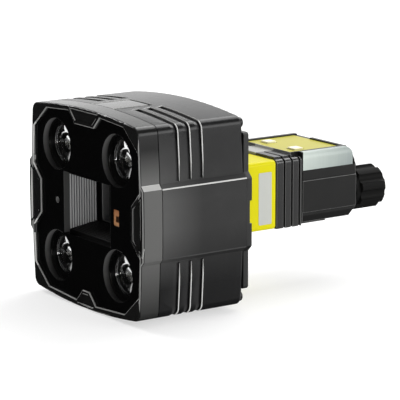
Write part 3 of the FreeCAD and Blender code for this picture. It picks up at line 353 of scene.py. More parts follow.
def headFinish(name, look):  # satin black, with painted light on the sides fading towards the back, a painted sheen on the smooth pad, dull on the slopes
    made = Finish(name, specular=.24)
    cloud = made.place.noise(14, 3)
    specks = made.place.noise(.22, 2, .6)
    x, depth, rise = abs(made.across()), made.depth(), made.rise()
    pad = (x < look["padHalf"]) * (depth < look["padBack"])
    slope = (x > look["slopeOut"]) * (abs(abs(rise) - look["slopeAt"]) < look["slopeHalf"])
    side = (x > look["sideOut"]) * (1 - rise.share(*look["paleTop"])) * rise.share(*look["paleFoot"])
    tone = (cloud * .6 + specks * .4).mix(rgb(.004, .004, .0042), rgb(.011, .011, .0115))
    # painted light on the sides, fading towards the back
    tone = (side * (.072 - .052 * depth.share(*look["paleBack"]))).mix(tone, rgb(1, 1, .98))
    # painted sheen on the pad
    made.feed(base_color=pad.mix(tone, rgb(.125, .125, .123)))
    made.feed(roughness=.20 + .08 * specks + .04 * cloud + .5 * slope - .06 * pad)
    made.bump(made.place.noise(.7, 2, .6) * .6 + specks * .4, .03, .5)
    return made.material


frameLook = {
    "sideOut": 51.5, "behind": 1.2, "paleTop": (23, 40), "paleFoot": (-55, -16),
    "slopeAt": 20.2, "slopeHalf": 1.3, "topFrom": 44, "topHalf": 50.5,
    "rimOut": 53, "rimAt": .42, "rimHalf": .26,
}


def frameFinish(name, look):  # satin black, with painted light on its top and sides and a painted highlight along the side slope and its outer rim
    made = Finish(name, specular=.22)
    specks = made.place.noise(.2, 2, .6)
    x, depth, rise = abs(made.across()), made.depth(), made.rise()
    behind = depth > look["behind"]
    side = (x > look["sideOut"]) * behind
    pale = (1 - rise.share(*look["paleTop"])) * rise.share(*look["paleFoot"])
    slope = side * (abs(rise - look["slopeAt"]) < look["slopeHalf"])
    top = (rise > look["topFrom"]) * (x < look["topHalf"]) * behind
    # painted highlight along the outer rim
    rim = (x > look["rimOut"]) * (abs(depth - look["rimAt"]) < look["rimHalf"]) * (.75 + .25 * specks)
    # painted light on the sides and top, and a painted highlight along the side slope
    paintedLight = side * pale * .225 + slope + top * .12
    tone = paintedLight.maths("MAXIMUM", paintedLight, rim * .62) * .95 + specks * .03
    made.feed(base_color=tone.mix(grey(.002), rgb(.45, .45, .44)), roughness=.16 + .08 * specks)
    made.bump(specks, .012, .4)
    return made.material


edgeLook = {"sideOut": 50, "panelEdge": 20, "edgeHalf": 2.5}


def edgeFinish(name, look):  # painted highlight on the eased edges, palest on the sides, with painted shade along the raised panels
    made = Finish(name, specular=.3)
    specks = made.place.noise(.3, 2, .6)
    rise = made.rise()
    lowLine = abs(rise + look["panelEdge"]) < look["edgeHalf"]
    highLine = abs(rise - look["panelEdge"]) < look["edgeHalf"]
    side = abs(made.across()) > look["sideOut"]
    pale = (side * .7 + specks * .3).mix(rgb(.18, .18, .176), rgb(.80, .80, .78))
    # painted shade along the lower panel edge, less along the upper
    made.feed(base_color=(lowLine + highLine * .3).mix(pale, grey(.05)), roughness=.3 + .1 * specks)
    return made.material


bezelLook = {"across": 16.3, "up": 11.7}


def bezelFinish(name, look):  # black face, grey walls inside
    made = Finish(name)
    specks = made.place.noise(.25, 2, .6)
    inside = (abs(made.across()) < look["across"]) * (abs(made.rise()) < look["up"])
    wall = specks.mix(grey(.10), grey(.15))
    made.feed(base_color=inside.mix(grey(.006), wall), roughness=.4 + .1 * specks)
    made.bump(specks, .02, .5)
    return made.material


sinkPad = {"left": -10, "right": 7.4, "above": 18.9}


def sinkFinish(name, pad):  # satin black, smoother on the pad on top, with a painted sheen there
    made = Finish(name)
    specks = made.place.noise(.28, 2, .6)
    x = made.across()
    onPad = (x < pad["right"]) * (x > pad["left"]) * (made.rise() > pad["above"])
    tone = specks.mix(grey(.009), grey(.018))
    # painted sheen on the pad
    made.feed(base_color=onPad.mix(tone, rgb(.26, .26, .235)), roughness=.22 + .08 * specks - .06 * onPad)
    made.bump(specks, .02, .5)
    return made.material


backLook = {"tongueEnd": 121.4, "under": (-15.4, -14.2)}


def backFinish(name, look, pad):  # satin black, with painted light on the tongue's front, a painted sheen above the pad, and painted shade underneath
    made = Finish(name, specular=.22)
    cloud = made.place.noise(14, 3)
    specks = made.place.noise(.25, 2, .6)
    x = made.across()
    tongue = made.depth() < look["tongueEnd"]
    abovePad = tongue * (x < pad["right"]) * (x > pad["left"])
    under = 1 - made.rise().share(*look["under"])
    tone = (cloud * .6 + specks * .4).mix(rgb(.006, .006, .0058), rgb(.012, .012, .0117))
    # painted shade underneath and painted light on the tongue's front
    tone = tongue.mix(under.mix(tone, grey(.002)), rgb(.16, .16, .152))
    # painted sheen on the tongue's front above the pad
    made.feed(base_color=abovePad.mix(tone, rgb(.5, .5, .47)))
    made.feed(roughness=.3 + .12 * specks + .05 * cloud - .26 * under)
    made.bump(specks, .03, .5)
    return made.material


windowLook = {"long": (127.2, 162.4), "tall": (11, 21.5)}


def windowFinish(name, look):  # frosted light guide, with painted light making it paler at its front and top
    made = Finish(name, specular=.4, coat_weight=.15, coat_roughness=.3)
    frost = made.place.noise(.3, 3, .7)
    lines = made.place.stretch(.2, 1, .05).noise(1.1, 1)
    # painted light and shade: paler at the front and top
    shade = made.depth().share(*look["long"]) * .62 + (1 - made.rise().share(*look["tall"])) * .18
    made.feed(base_color=(shade + lines * .14 + frost * .06).mix(rgb(.52, .58, .53), rgb(.19, .225, .225)))
    made.feed(roughness=.34 + .16 * frost)
    made.bump(frost, .02, .4)
    return made.material


keyLook = {"across": 12.6, "behind": 132.4, "rim": (1.4, 3.3)}


def keyFinish(name, look):  # pale membrane key, creamier towards its rim
    made = Finish(name, specular=.4)
    x = abs(abs(made.across()) - look["across"])
    y = abs(made.depth() - look["behind"])
    rim = x.maths("MAXIMUM", x, y).share(*look["rim"])
    specks = made.place.noise(.15, 2)
    made.feed(base_color=(rim * .85 + specks * .15).mix(rgb(.86, .82, .76), rgb(.74, .70, .42)))
    made.feed(roughness=.36 + .1 * specks)
    made.bump(specks, .008, .4)
    return made.material


def capFinish(name):  # moulded cap with draw lines along its sides
    made = Finish(name, specular=.02)
    draw = made.place.stretch(1, .06, 1).noise(.45, 2, .6)
    specks = made.place.noise(.3, 2, .6)
    made.feed(base_color=(draw * .7 + specks * .3).mix(grey(.004), rgb(.013, .013, .0125)))
    made.feed(roughness=.3 + .14 * draw)
    made.bump(draw, .09, .6)
    return made.material


amberLook = {"tall": (-4.4, 4.4)}


def amberFinish(name, look):  # deeper towards its top
    made = Finish(name, specular=.45)
    tilt = made.rise().share(*look["tall"])
    specks = made.place.noise(.8, 2, .6)
    made.feed(base_color=(tilt * .7 + specks * .3).mix(rgb(.52, .27, .12), rgb(.36, .13, .05)))
    made.feed(roughness=.2 + .1 * specks)
    made.bump(specks, .02, .4)
    return made.material


def emitterFinish(name):  # pale phosphor with a painted glow, so it shows bright through the lens
    made = Finish(name, emission_color=rgb(1, .97, .88), emission_strength=.9)
    grain = made.place.noise(.2, 2, .6)
    made.feed(base_color=grain.mix(rgb(.80, .76, .60), rgb(.90, .88, .78)), roughness=.3 + .15 * grain)
    made.bump(grain, .01, .4)
    return made.material


finishes = {material.name: material for material in (
    headFinish("headBlack", headLook),
    frameFinish("frameBlack", frameLook),
    edgeFinish("edgeSheen", edgeLook),
    # a softer painted highlight for the eased edges of the sink and rear housing
    mouldedPlastic("edgeSoftSheen", rgb(.07, .07, .069), rgb(.13, .13, .127), .30, .30, .01),
    panelFinish("panelBlack", panelLook),
    glossPlastic("cupBlack", grey(.002), grey(.005), .2, .25),
    hoodFinish("hoodLitAndShaded", hoodLook),
    bezelFinish("bezelGrey", bezelLook),
    mouldedPlastic("plateBlack", grey(.006), grey(.012), .38, .25, .03),
    mouldedPlastic("lemonCover", rgb(.58, .53, .002), rgb(.66, .605, .003), .36, .30, .02, .1),
    mouldedPlastic("labelFilm", rgb(.42, .38, .02), rgb(.48, .44, .035), .34, .12, .01, .25),
    keyFinish("keyPale", keyLook),
    windowFinish("frostWindow", windowLook),
    sinkFinish("sinkBlack", sinkPad),
    # near black without reflection: painted shade for the groove round the pad
    mouldedPlastic("moatShade", grey(.001), grey(.003), .8, .3, .01, 0.0),
    backFinish("backBlack", backLook, sinkPad),
    capFinish("capBlack"),
    mouldedPlastic("rubberBlack", grey(.012), grey(.02), .7, .4, .03),
    amberFinish("amberPart", amberLook),
    glossPlastic("amberDark", rgb(.025, .007, .001), rgb(.045, .014, .002), .3),
    mouldedPlastic("labelPaper", rgb(.42, .43, .40), rgb(.48, .49, .455), .5, .2, .006),
    glossPlastic("aimerGrey", rgb(.34, .34, .36), rgb(.5, .5, .52), .12),
    clearPlastic("lensClear", rgb(.97, .98, .98), 1.49, .01),
    clearPlastic("glassClear", rgb(.93, .96, .96), 1.52, .005),
    turnedMetal("nickelSatin", rgb(.52, .50, .46), rgb(.66, .64, .60), .26),
    turnedMetal("screwSteel", grey(.10), grey(.20), .34),
    turnedMetal("goldPlate", rgb(.83, .58, .20), rgb(.95, .70, .30), .22),
    turnedMetal("brassTurned", rgb(.60, .44, .18), rgb(.76, .58, .26), .30),
    turnedMetal("bareAluminium", rgb(.60, .61, .62), rgb(.74, .75, .76), .34),
    boardFinish("boardGreen", rgb(.01, .07, .03), rgb(.03, .14, .06)),
    boardFinish("boardWhite", rgb(.75, .76, .74), rgb(.60, .61, .60)),
    emitterFinish("emitterGlow"),
    glossPlastic("sensorGlass", rgb(.02, .02, .05), rgb(.05, .04, .10), .08),
)}
wears = {
    "headBlack": ["head_housing"],
    "frameBlack": ["front_frame"],
    "panelBlack": ["front_panel"],
    "cupBlack": ["lens_holder_top_left", "lens_holder_top_right", "lens_holder_bottom_left",
                 "lens_holder_bottom_right", "aimer_module", "range_sensor"],
    "hoodLitAndShaded": ["light_hood"],
    "bezelGrey": ["nose_bezel"],
    "plateBlack": ["rear_plate", "nose_tube", "lens_barrel"],
    "lemonCover": ["front_cover"],
    "labelFilm": ["top_label"],
    "keyPale": ["trigger_button", "tune_button"],
    "frostWindow": ["indicator_left", "indicator_right"],
    "sinkBlack": ["heat_sink"],
    "backBlack": ["rear_housing", "connector_insert_left", "connector_insert_right"],
    "capBlack": ["cap_left", "cap_right"],
    "rubberBlack": ["cap_seal_left", "cap_seal_right", "cover_gasket", "housing_gasket"],
    "amberPart": ["range_window"],
    "lensClear": ["collimator_top_left", "collimator_top_right", "collimator_bottom_left",
                  "collimator_bottom_right"],
    "aimerGrey": ["aimer_lens"],
    "glassClear": ["nose_window", "objective_glass"],
    "nickelSatin": ["connector_left", "connector_right"],
    "screwSteel": ["rear_plate_screws", "rear_housing_screws"],
    "goldPlate": ["contacts_left", "contacts_right"],
    "brassTurned": ["standoffs"],
    "bareAluminium": ["heat_spreader"],
    "boardGreen": ["driver_board", "processor_board", "key_board", "sensor_board"],
    "boardWhite": ["light_board"],
    "emitterGlow": ["emitters", "indicator_lamps"],
    "sensorGlass": ["image_sensor"],
}
for finishName, members in wears.items():
    for nodeName in members:
        nodes[nodeName].data.materials.clear()
        nodes[nodeName].data.materials.append(finishes[finishName])
bare = sorted(set(nodes) - {name for members in wears.values() for name in members})
print("finishes on", len(nodes) - len(bare), "nodes, bare:", bare)


# flat slabs, for cutting and for thin pieces

def addSlab(work, points, push, slot, ease):  # a flat outline pushed along, eased on its far rim
    before = set(work.faces)
    face = work.faces.new([work.verts.new(point) for point in points])
    face.normal_update()
    grown = bmesh.ops.extrude_face_region(work, geom=[face])["geom"]
    pushed = [item for item in grown if isinstance(item, bmesh.types.BMVert)]
    bmesh.ops.translate(work, verts=pushed, vec=push)
    if ease:
        rim = [item for item in grown if isinstance(item, bmesh.types.BMEdge)]
        bmesh.ops.bevel(work, geom=rim, offset=ease, segments=2, affect="EDGES", profile=.5)
    for item in work.faces:
        if item not in before:
            item.material_index = slot


def slabPiece(name, slabs, materials):
    work = bmesh.new()
    for points, push, slot, ease in slabs:
        addSlab(work, points, push, slot, ease)
    bmesh.ops.recalc_face_normals(work, faces=work.faces)
    mesh = bpy.data.meshes.new(name)
    work.to_mesh(mesh)
    work.free()
    for material in materials:
        mesh.materials.append(material)
    return linkPiece(name, mesh)


def roundedCorners(left, right, low, high, radius, steps=5):
    points = []
    for turn, (x, y) in enumerate(((right - radius, high - radius), (left + radius, high - radius),
                                   (left + radius, low + radius), (right - radius, low + radius))):
        for step in range(steps + 1):
            angle = math.pi / 2 * (turn + step / steps)
            points.append((x + radius * math.cos(angle), y + radius * math.sin(angle)))
    return points


# moulded edges: a merged copy of a node with its outer sharp edges eased

easing = {
    "merge": .002, "flatten": .6, "fromTurn": 28, "splitTurn": 24, "segments": 2,  # millimetres and degrees
    "straight": .8, "sharedRoom": .45, "freeRoom": .9, "leastRoom": .15, "level": .5,  # cosines and shares
}
framePockets = {  # shallow pockets in the four tabs, outlines across and up
    "depth": .8, "start": -1,
    "outlines": [
        [(-8.4, 47.4), (8.4, 47.4), (14.0, 53.0), (-14.0, 53.0)],
        [(-2.6, -47.4), (-8.2, -53.0), (8.2, -53.0), (2.6, -47.4)],
        [(47.6, -8.1), (54.6, -14.5), (54.6, 14.5), (47.6, 8.1)],
        [(-47.6, 8.1), (-54.6, 14.5), (-54.6, -14.5), (-47.6, -8.1)],
    ],
}
padMoat = {  # groove round the pad, and the largest face in it in square millimetres
    "inner": 9.6, "outer": 11.4, "back": 35.7, "rear": 37.5, "above": 48, "slack": .05, "largest": 90,
}
# the paler bands put a painted highlight on the eased edges
easedNodes = {  # easing width, where the edges lie, all in millimetres, and the finish of the eased band
    "front_frame": {"width": .55, "depth": (-1, 3.4), "band": "edgeSheen", "level": True,
                    "pockets": framePockets},
    "front_panel": {"width": .20, "depth": (1, 2.5), "band": "panelBlack", "leave": (16, 17.6)},
    "head_housing": {"width": .42, "depth": (13.2, 66), "out": 40, "band": "edgeSheen",
                     "leave": (21.55, 23.5), "moat": padMoat},
    "rear_plate": {"width": .25, "depth": (60, 75), "band": "plateBlack"},
    "front_cover": {"width": .35, "depth": (60, 120), "band": "lemonCover"},
    "heat_sink": {"width": .32, "depth": (100, 150), "band": "edgeSoftSheen"},
    "rear_housing": {"width": .32, "depth": (100, 170), "below": 10, "out": 16.5, "band": "edgeSoftSheen"},
    "light_hood": {"width": .10, "depth": (0, 30), "band": "hoodLitAndShaded"},
    "nose_bezel": {"width": .30, "depth": (0, 40), "band": "edgeSheen"},
    "cap_left": {"width": .25, "depth": (160, 170.4), "band": "capBlack"},
    "cap_right": {"width": .25, "depth": (160, 170.4), "band": "capBlack"},
}


def edgeRoom(edge, corner, sharp):  # how wide an edge may be eased at one of its ends
    along = (edge.other_vert(corner).co - corner.co).normalized()
    room = math.inf
    for other in corner.link_edges:
        if other == edge:
            continue
        way = (other.other_vert(corner).co - corner.co).normalized()
        lean = way.dot(along)
        if other in sharp and abs(lean) > easing["straight"]:
            continue
        share = easing["sharedRoom" if other in sharp else "freeRoom"]
        room = min(room, share * other.calc_length() * math.sqrt(max(0.0, 1 - lean * lean)))
    return room


def isEased(edge, look):
    if len(edge.link_faces) != 2 or not edge.is_convex:
        return False
    if edge.calc_face_angle(0) < math.radians(easing["fromTurn"]):
        return False
    along = (edge.verts[1].co - edge.verts[0].co).normalized()
    if look.get("level") and abs(along.y) > easing["level"]:
        return False
    middle = (edge.verts[0].co + edge.verts[1].co) / 2 - at(0, 0, 0)
    across, depth, rise = (value / mm for value in middle)
    front, back = look["depth"]
    near = front < depth < back and rise < look.get("below", math.inf)
    leaveFrom, leaveTo = look.get("leave", (0, 0))
    return near and max(abs(across), abs(rise)) > look.get("out", 0) and not leaveFrom < abs(rise) < leaveTo


def cutPockets(piece, look):
    push = Vector((0, (look["depth"] - look["start"]) * mm, 0))
    slabs = [([at(x, look["start"], z) for x, z in outline], push, 0, 0.0) for outline in look["outlines"]]
    cutter = slabPiece("pocket_cutter", slabs, [])
    cut = piece.modifiers.new("cut", "BOOLEAN")
    cut.operation = "DIFFERENCE"
    cut.solver = "EXACT"
    cut.object = cutter
    bakeModifiers(piece)
    bpy.data.objects.remove(cutter)


def mergedCopy(source):  # the node's loose triangles as whole faces
    mesh = source.data.copy()
    work = bmesh.new()
    work.from_mesh(mesh)
    bmesh.ops.remove_doubles(work, verts=work.verts, dist=easing["merge"] * mm)
    bmesh.ops.dissolve_degenerate(work, dist=easing["merge"] * mm, edges=work.edges)
    bmesh.ops.dissolve_limit(
        work, angle_limit=math.radians(easing["flatten"]), verts=work.verts, edges=work.edges)
    work.to_mesh(mesh)
    work.free()
    return mesh


def weighEdges(mesh, look):  # how much of the easing width each edge takes
    work = bmesh.new()
    work.from_mesh(mesh)
    weight = work.edges.layers.float.new("bevel_weight_edge")
    sharp = {edge for edge in work.edges if isEased(edge, look)}
    for edge in sharp:
        room = min(edgeRoom(edge, corner, sharp) for corner in edge.verts) / (look["width"] * mm)
        edge[weight] = min(1.0, room) if room > easing["leastRoom"] else 0.0
    work.to_mesh(mesh)
    work.free()


def shadeMoat(mesh, moat):  # the groove round the pad gets its own finish, a painted shade without reflection
    mesh.materials.append(finishes["moatShade"])
    slack = moat["slack"]
    for face in mesh.polygons:
        across, depth, rise = (value / mm for value in face.center - at(0, 0, 0))
        x = abs(across)
        ringed = x < moat["outer"] + slack and depth < moat["rear"] + slack and abs(rise) > moat["above"]
        onPad = x < moat["inner"] - slack and depth < moat["back"] - slack
        if ringed and not onPad and face.area < moat["largest"] * mm * mm:
            face.material_index = len(mesh.materials) - 1


def easeNode(nodeName, look):
    source = nodes[nodeName]
    piece = linkPiece(nodeName + "_eased", mergedCopy(source))
    if "pockets" in look:
        cutPockets(piece, look["pockets"])
    weighEdges(piece.data, look)
    piece.data.materials.append(finishes[look["band"]])
    ease = piece.modifiers.new("ease", "BEVEL")
    ease.width = look["width"] * mm
    ease.segments = easing["segments"]
    ease.limit_method = "WEIGHT"
    ease.use_clamp_overlap = False
    ease.material = 1
    bakeModifiers(piece)
    markSharp(piece.data, easing["splitTurn"])
    flat = piece.modifiers.new("flat", "WEIGHTED_NORMAL")  # wide faces stay flat beside small ones
    flat.keep_sharp = True
    flat.weight = 100
    bakeModifiers(piece)
    low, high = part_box(nodeName)
    for point in piece.data.vertices:
        point.co = [min(max(value, least), most) for value, least, most in zip(point.co, low, high)]
    if "moat" in look:
        shadeMoat(piece.data, look["moat"])
    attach(piece, source["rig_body"])
    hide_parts(nodeName)
    return piece


for nodeName, look in easedNodes.items():
    piece = easeNode(nodeName, look)
    print("eased", nodeName, len(piece.data.polygons), "faces")


# bare label on the side of the cover

sideLabel = {
    "front": 96.2, "rear": 105.0, "low": -16.3, "high": 13.1, "corner": .8, "thick": .12, "ease": .03,
}


def stickLabel(look):
    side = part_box("front_cover")[1].x / mm
    points = [at(side, y, z) for y, z in roundedCorners(
        look["front"], look["rear"], look["low"], look["high"], look["corner"])]
    push = Vector((look["thick"] * mm, 0, 0))
    label = slabPiece("cover_side_label", [(points, push, 0, look["ease"] * mm)], [finishes["labelPaper"]])
    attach(label, "reader")


# amber part beside the mouth, a notched front on a dark back

amberPart = {
    "left": 25.75, "right": 31.85, "low": -4.45, "high": 4.45, "face": 2.4, "floor": 2.8, "back": 5.2,
    "notchFrom": 27.5, "notchLow": -2.3, "notchHigh": .9, "corner": .5, "ease": .3,
}


def setAmber(look):
    left, right, low, high = (look[key] for key in ("left", "right", "low", "high"))
    inner, notchLow, notchHigh = look["notchFrom"], look["notchLow"], look["notchHigh"]
    outline = [(left, low), (right, low), (right, notchLow), (inner, notchLow),
               (inner, notchHigh), (right, notchHigh), (right, high), (left, high)]
    back = [at(x, look["back"], z) for x, z in roundedCorners(left, right, low, high, look["corner"])]
    front = [at(x, look["floor"], z) for x, z in outline]
    part = slabPiece("range_part", [
        (back, Vector((0, (look["floor"] - look["back"]) * mm, 0)), 1, 0.0),
        (front, Vector((0, (look["face"] - look["floor"]) * mm, 0)), 0, look["ease"] * mm),
    ], [finishes["amberPart"], finishes["amberDark"]])
    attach(part, "reader")
    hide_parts("range_window")


# top of the sink: the ribs' upper ends and the pad between them

sinkCrown = {
    "front": 108.75, "rear": 120.95, "low": 19.0, "top": 20.4, "half": 24.6,
    "grooves": (113.4, 118.6), "grooveWide": 1.2, "ease": .3,
}


def crownSink(look, pad):
    right, left, ends = pad["right"], pad["left"], look["half"]
    front, rear = look["front"], look["rear"]
    cuts = [(start, start + look["grooveWide"]) for start in look["grooves"]]
    outline = [(-ends, front), (ends, front)]
    for start, end in cuts:
        outline += [(ends, start), (right, start), (right, end), (ends, end)]
    outline += [(ends, rear), (-ends, rear)]
    for start, end in reversed(cuts):
        outline += [(-ends, end), (left, end), (left, start), (-ends, start)]
    points = [at(x, y, look["low"]) for x, y in outline]
    push = Vector((0, 0, (look["top"] - look["low"]) * mm))
    crown = slabPiece("sink_crown", [(points, push, 0, look["ease"] * mm)], [finishes["sinkBlack"]])
    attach(crown, "reader")


stickLabel(sideLabel)
setAmber(amberPart)
crownSink(sinkCrown, sinkPad)
print("label, amber part and sink crown set")


# geometry node helpers

def startTree(name, sizes):  # an empty tree with one named input for each size
    tree = bpy.data.node_groups.new(name, "GeometryNodeTree")
    tree.interface.new_socket("Geometry", in_out="OUTPUT", socket_type="NodeSocketGeometry")
    for label in sizes:
        tree.interface.new_socket(label, in_out="INPUT", socket_type="NodeSocketFloat")
    source = tree.nodes.new("NodeGroupInput")
    return tree, {label: Tone(tree, source.outputs[label]) for label in sizes}


def endTree(tree, shape, material):
    whole = shape.node("GeometryNodeRealizeInstances", {}, {"Geometry": shape})
    dressed = whole.node("GeometryNodeSetMaterial", {}, {"Geometry": whole, "Material": material})
    finish = tree.nodes.new("NodeGroupOutput")
    tree.links.new(dressed.socket, finish.inputs["Geometry"])


def runTree(name, tree, sizes):  # the tree's result as a plain mesh piece
    piece = linkPiece(name, bpy.data.meshes.new(name))
    grow = piece.modifiers.new("grow", "NODES")
    grow.node_group = tree
    for item in tree.interface.items_tree:
        if item.in_out == "INPUT":
            grow[item.identifier] = float(sizes[item.name])
    bakeModifiers(piece)
    return piece


def joined(first, second, operation):
    cut = first.node("GeometryNodeMeshBoolean", {"operation": operation, "solver": "EXACT"})
    inputs = cut.socket.node.inputs
    firstInput = "Mesh 1" if operation == "DIFFERENCE" else "Mesh 2"
    first.tree.links.new(first.socket, inputs[firstInput])
    first.tree.links.new(second.socket, inputs["Mesh 2"])
    return cut


def vector(x, y, z):
    some = next(value for value in (x, y, z) if isinstance(value, Tone))
    return some.node("ShaderNodeCombineXYZ", {}, {"X": x, "Y": y, "Z": z})


def moved(shape, shift, turn=(0, 0, 0)):
    return shape.node("GeometryNodeTransform", {}, {
        "Geometry": shape, "Translation": shift, "Rotation": turn})


def rod(radius, depth, sides):
    return radius.node("GeometryNodeMeshCylinder", {"fill_type": "NGON"}, {
        "Vertices": sides, "Radius": radius, "Depth": depth})


toBack = (-math.pi / 2, 0, 0)  # turns a shape's axis from up to backwards


# socket screws, four at a time

screwForm = {"brim": .72, "crown": .88, "headSides": 40, "shankSides": 24, "keySides": 6}
screwSets = {
    "rear_plate_screws": {"head": 3.5, "height": 2.2, "shank": 1.9, "length": 6, "key": 1.9,
                          "keyDepth": 1.4, "across": 76, "up": 76, "seat": 70.2, "middle": 0},
    "rear_housing_screws": {"head": 2, "height": 1.4, "shank": 1.1, "length": 46.6, "key": 1.1,
                            "keyDepth": .9, "across": 47.2, "up": 20.8, "seat": 164.7, "middle": -.6},
}


def screwTree(form, material):
    labels = ("head", "height", "shank", "length", "key", "keyDepth", "across", "up", "seat", "middle")
    tree, size = startTree("socketScrews", labels)
    brim = size["height"] * form["brim"]
    low = moved(rod(size["head"], brim, form["headSides"]), vector(0.0, 0.0, brim * .5))
    crown = size["head"].node("GeometryNodeMeshCone", {"fill_type": "NGON"}, {
        "Vertices": form["headSides"], "Radius Top": size["head"] * form["crown"],
        "Radius Bottom": size["head"], "Depth": size["height"] * (1 - form["brim"])})
    head = joined(low, moved(crown, vector(0.0, 0.0, brim)), "UNION")
    shank = moved(rod(size["shank"], size["length"] + brim * .5, form["shankSides"]),
                  vector(0.0, 0.0, brim * .25 - size["length"] * .5))
    whole = joined(head, shank, "UNION")
    key = moved(rod(size["key"], size["keyDepth"] * 2, form["keySides"]), vector(0.0, 0.0, size["height"]))
    screw = joined(whole, key, "DIFFERENCE")
    corners = screw.node("GeometryNodeMeshGrid", {}, {
        "Size X": size["across"], "Size Y": size["up"], "Vertices X": 2, "Vertices Y": 2})
    four = screw.node("GeometryNodeInstanceOnPoints", {}, {"Points": corners, "Instance": screw})
    endTree(tree, moved(four, vector(0.0, size["seat"], size["middle"]), toBack), material)
    return tree


screwShape = screwTree(screwForm, finishes["screwSteel"])
for nodeName, look in screwSets.items():
    sizes = {key: value * mm for key, value in look.items()}
    sizes["seat"] = look["seat"] * mm + headFront
    sizes["middle"] = look["middle"] * mm + headAxis
    screws = runTree(nodeName + "_set", screwShape, sizes)
    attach(screws, "reader")
    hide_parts(nodeName)
    print("screws", nodeName, len(screws.data.polygons), "faces")


# connectors under the caps: a turned shell and its thread

connectorLook = {
    "across": 14.3, "height": -6, "body": 5.8, "flange": 7, "core": 5.5, "crest": 5.92, "bore": 4.9,
    "back": 158, "seat": 164.7, "shoulder": 167, "threadEnd": 176, "pitch": 1.0,
    "ease": .3, "nose": .4, "lip": .1, "lead": .8, "gaps": 1.8,
    "sides": 64, "splitTurn": 30, "turnSteps": 48, "ridgeSides": 4, "merge": .001,
}


def connectorProfile(look):  # depth and radius, round the shell and back through its bore
    seat, shoulder, tip = look["seat"], look["shoulder"], look["threadEnd"]
    flange, core, bore = look["flange"], look["core"], look["bore"]
    ease, lip = look["ease"], look["lip"]
    return [
        (look["back"], look["body"]), (seat, look["body"]), (seat, flange - ease), (seat + ease, flange),
        (shoulder - ease, flange), (shoulder, flange - ease), (shoulder, core), (tip - look["nose"], core),
        (tip, core - ease), (tip, bore + lip), (tip - lip, bore), (look["back"], bore),
    ]


def latheMesh(name, look, centre):  # the profile spun round the connector's axis
    work = bmesh.new()
    ring = [work.verts.new(centre + Vector((radius * mm, depth * mm, 0)))
            for depth, radius in connectorProfile(look)]
    edges = [work.edges.new((ring[i], ring[(i + 1) % len(ring)])) for i in range(len(ring))]
    bmesh.ops.spin(work, geom=ring + edges, cent=centre, axis=(0, 1, 0), angle=math.tau,
                   steps=look["sides"])
    bmesh.ops.remove_doubles(work, verts=work.verts, dist=look["merge"] * mm)
    bmesh.ops.recalc_face_normals(work, faces=work.faces)
    mesh = bpy.data.meshes.new(name)
    work.to_mesh(mesh)
    work.free()
    markSharp(mesh, look["splitTurn"])
    return mesh


def threadTree(look, material):
    labels = ("across", "height", "core", "crest", "pitch", "start", "long")
    tree, size = startTree("connectorThreads", labels)
    turns = size["long"].maths("DIVIDE", size["long"], size["pitch"])
    path = turns.node("GeometryNodeCurveSpiral", {}, {
        "Resolution": look["turnSteps"], "Rotations": turns, "Start Radius": size["core"],
        "End Radius": size["core"], "Height": size["long"]})
    section = turns.node("GeometryNodeCurvePrimitiveCircle", {"mode": "RADIUS"}, {
        "Resolution": look["ridgeSides"], "Radius": size["crest"] - size["core"]})
    ridge = turns.node("GeometryNodeCurveToMesh", {}, {
        "Curve": path, "Profile Curve": section, "Fill Caps": True})
    pair = turns.node("GeometryNodeMeshLine", {"mode": "END_POINTS"}, {
        "Count": 2, "Start Location": vector(size["across"] * -1, 0.0, 0.0),
        "Offset": vector(size["across"], 0.0, 0.0)})
    both = turns.node("GeometryNodeInstanceOnPoints", {}, {"Points": pair, "Instance": ridge})
    endTree(tree, moved(both, vector(0.0, size["start"], size["height"]), toBack), material)
    return tree


def setConnectors(look):
    for hand, side in ((-1, "left"), (1, "right")):
        name = "connector_" + side
        mesh = latheMesh(name + "_shell", look, at(hand * look["across"], 0, look["height"]))
        shell = linkPiece(name + "_shell", mesh, finishes["nickelSatin"])
        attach(shell, "reader")
        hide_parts(name)
    sizes = {key: look[key] * mm for key in ("across", "core", "crest", "pitch")}
    sizes["height"] = look["height"] * mm + headAxis
    sizes["start"] = (look["shoulder"] + look["lead"]) * mm + headFront
    sizes["long"] = (look["threadEnd"] - look["shoulder"] - look["gaps"]) * mm
    threads = runTree("connector_threads", threadTree(look, finishes["nickelSatin"]), sizes)
    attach(threads, "reader")
    print("threads", len(threads.data.polygons), "faces")


setConnectors(connectorLook)


# floor and light

studio = {
    "floorDrop": 0.0352, "floorReach": 6.0, "floorWhite": .45, "floorShade": .03, "floorGlow": .58,
    "skyDark": .02, "skyLight": .8, "skyFrom": -.15, "skyTo": .45, "skyLean": .9,
    "gapAt": (.42, .56, .716), "gapFrom": .88, "gapTo": .975, "gapLeft": .12,  # dark strip in the sky
    "aim": (0, -0.03, 0.02),
    "lamps": [
        {"name": "topBox", "from": (-0.3, 0.75, 1.05), "wide": 1.0, "tall": 1.0, "watts": 14},
        {"name": "backBox", "from": (-1.5, 1.05, 0.42), "wide": 0.8, "tall": 0.8, "watts": 0.8},
        {"name": "rightBack", "from": (1.0, 0.73, 0.36), "wide": 1.1, "tall": 0.6, "watts": 9},
        {"name": "leftStrip", "from": (-1.0, -0.35, 0.75), "wide": 0.35, "tall": 0.35, "watts": 6},
        {"name": "rightFront", "from": (1.3, -0.75, 0.06), "wide": 0.35, "tall": 0.35, "watts": 5},
    ],
}


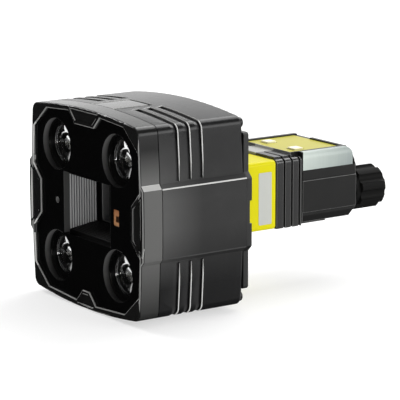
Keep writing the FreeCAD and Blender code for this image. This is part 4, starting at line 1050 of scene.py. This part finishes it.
def layFloor(look):
    reach = look["floorReach"]
    mesh = bpy.data.meshes.new("studioFloor")
    corners = [(-reach, -reach), (reach, -reach), (reach, reach), (-reach, reach)]
    mesh.from_pydata([(x, y, -look["floorDrop"]) for x, y in corners], [], [(0, 1, 2, 3)])
    paper = Finish("paleFloor", specular=0.1, emission_color=grey(1), emission_strength=look["floorGlow"])
    shade = paper.place.noise(400, 2)
    white = look["floorWhite"]
    paper.feed(base_color=shade.mix(grey(white), grey(white + look["floorShade"])))
    paper.feed(roughness=0.85 + 0.1 * shade)
    floor = linkPiece("studioFloor", mesh, paper.material)
    floor.visible_glossy = False


def smoothShare(value, low, high, first, last):  # from the first level to the last, softly
    return value.node("ShaderNodeMapRange", {"interpolation_type": "SMOOTHSTEP"}, {
        "Value": value, "From Min": low, "From Max": high, "To Min": first, "To Max": last})


def setSky(look):
    world = bpy.data.worlds.new("studioSky")
    world.use_nodes = True
    tree = world.node_tree
    way = Tone(tree, tree.nodes.new("ShaderNodeTexCoord").outputs["Generated"])
    lean = way.axis("Y") * look["skyLean"] + way.axis("Z") * look["skyLean"]
    toGap = way.node("ShaderNodeVectorMath", {"operation": "DOT_PRODUCT"}, {
        0: way, 1: look["gapAt"]}, out="Value")
    glow = smoothShare(lean, look["skyFrom"], look["skyTo"], look["skyDark"], look["skyLight"])
    glow = glow * smoothShare(toGap, look["gapFrom"], look["gapTo"], 1.0, look["gapLeft"])
    direct = way.node("ShaderNodeLightPath")  # the camera sees a plain pale room
    glow = glow + direct * (1 - glow)
    background = tree.nodes["Background"]
    background.inputs["Color"].default_value = grey(1)
    tree.links.new(glow.socket, background.inputs["Strength"])
    scene.world = world


def setLamps(look):
    for lamp in look["lamps"]:
        data = bpy.data.lights.new(lamp["name"], "AREA")
        data.shape = "RECTANGLE"
        data.size = lamp["wide"]
        data.size_y = lamp["tall"]
        data.energy = lamp["watts"]
        lampObject = bpy.data.objects.new(lamp["name"], data)
        lampObject.location = lamp["from"]
        aim = Vector(look["aim"]) - Vector(lamp["from"])
        lampObject.visible_camera = False
        lampObject.rotation_euler = aim.to_track_quat("-Z", "Y").to_euler()
        scene.collection.objects.link(lampObject)


layFloor(studio)
setSky(studio)
setLamps(studio)
print("studio ready")
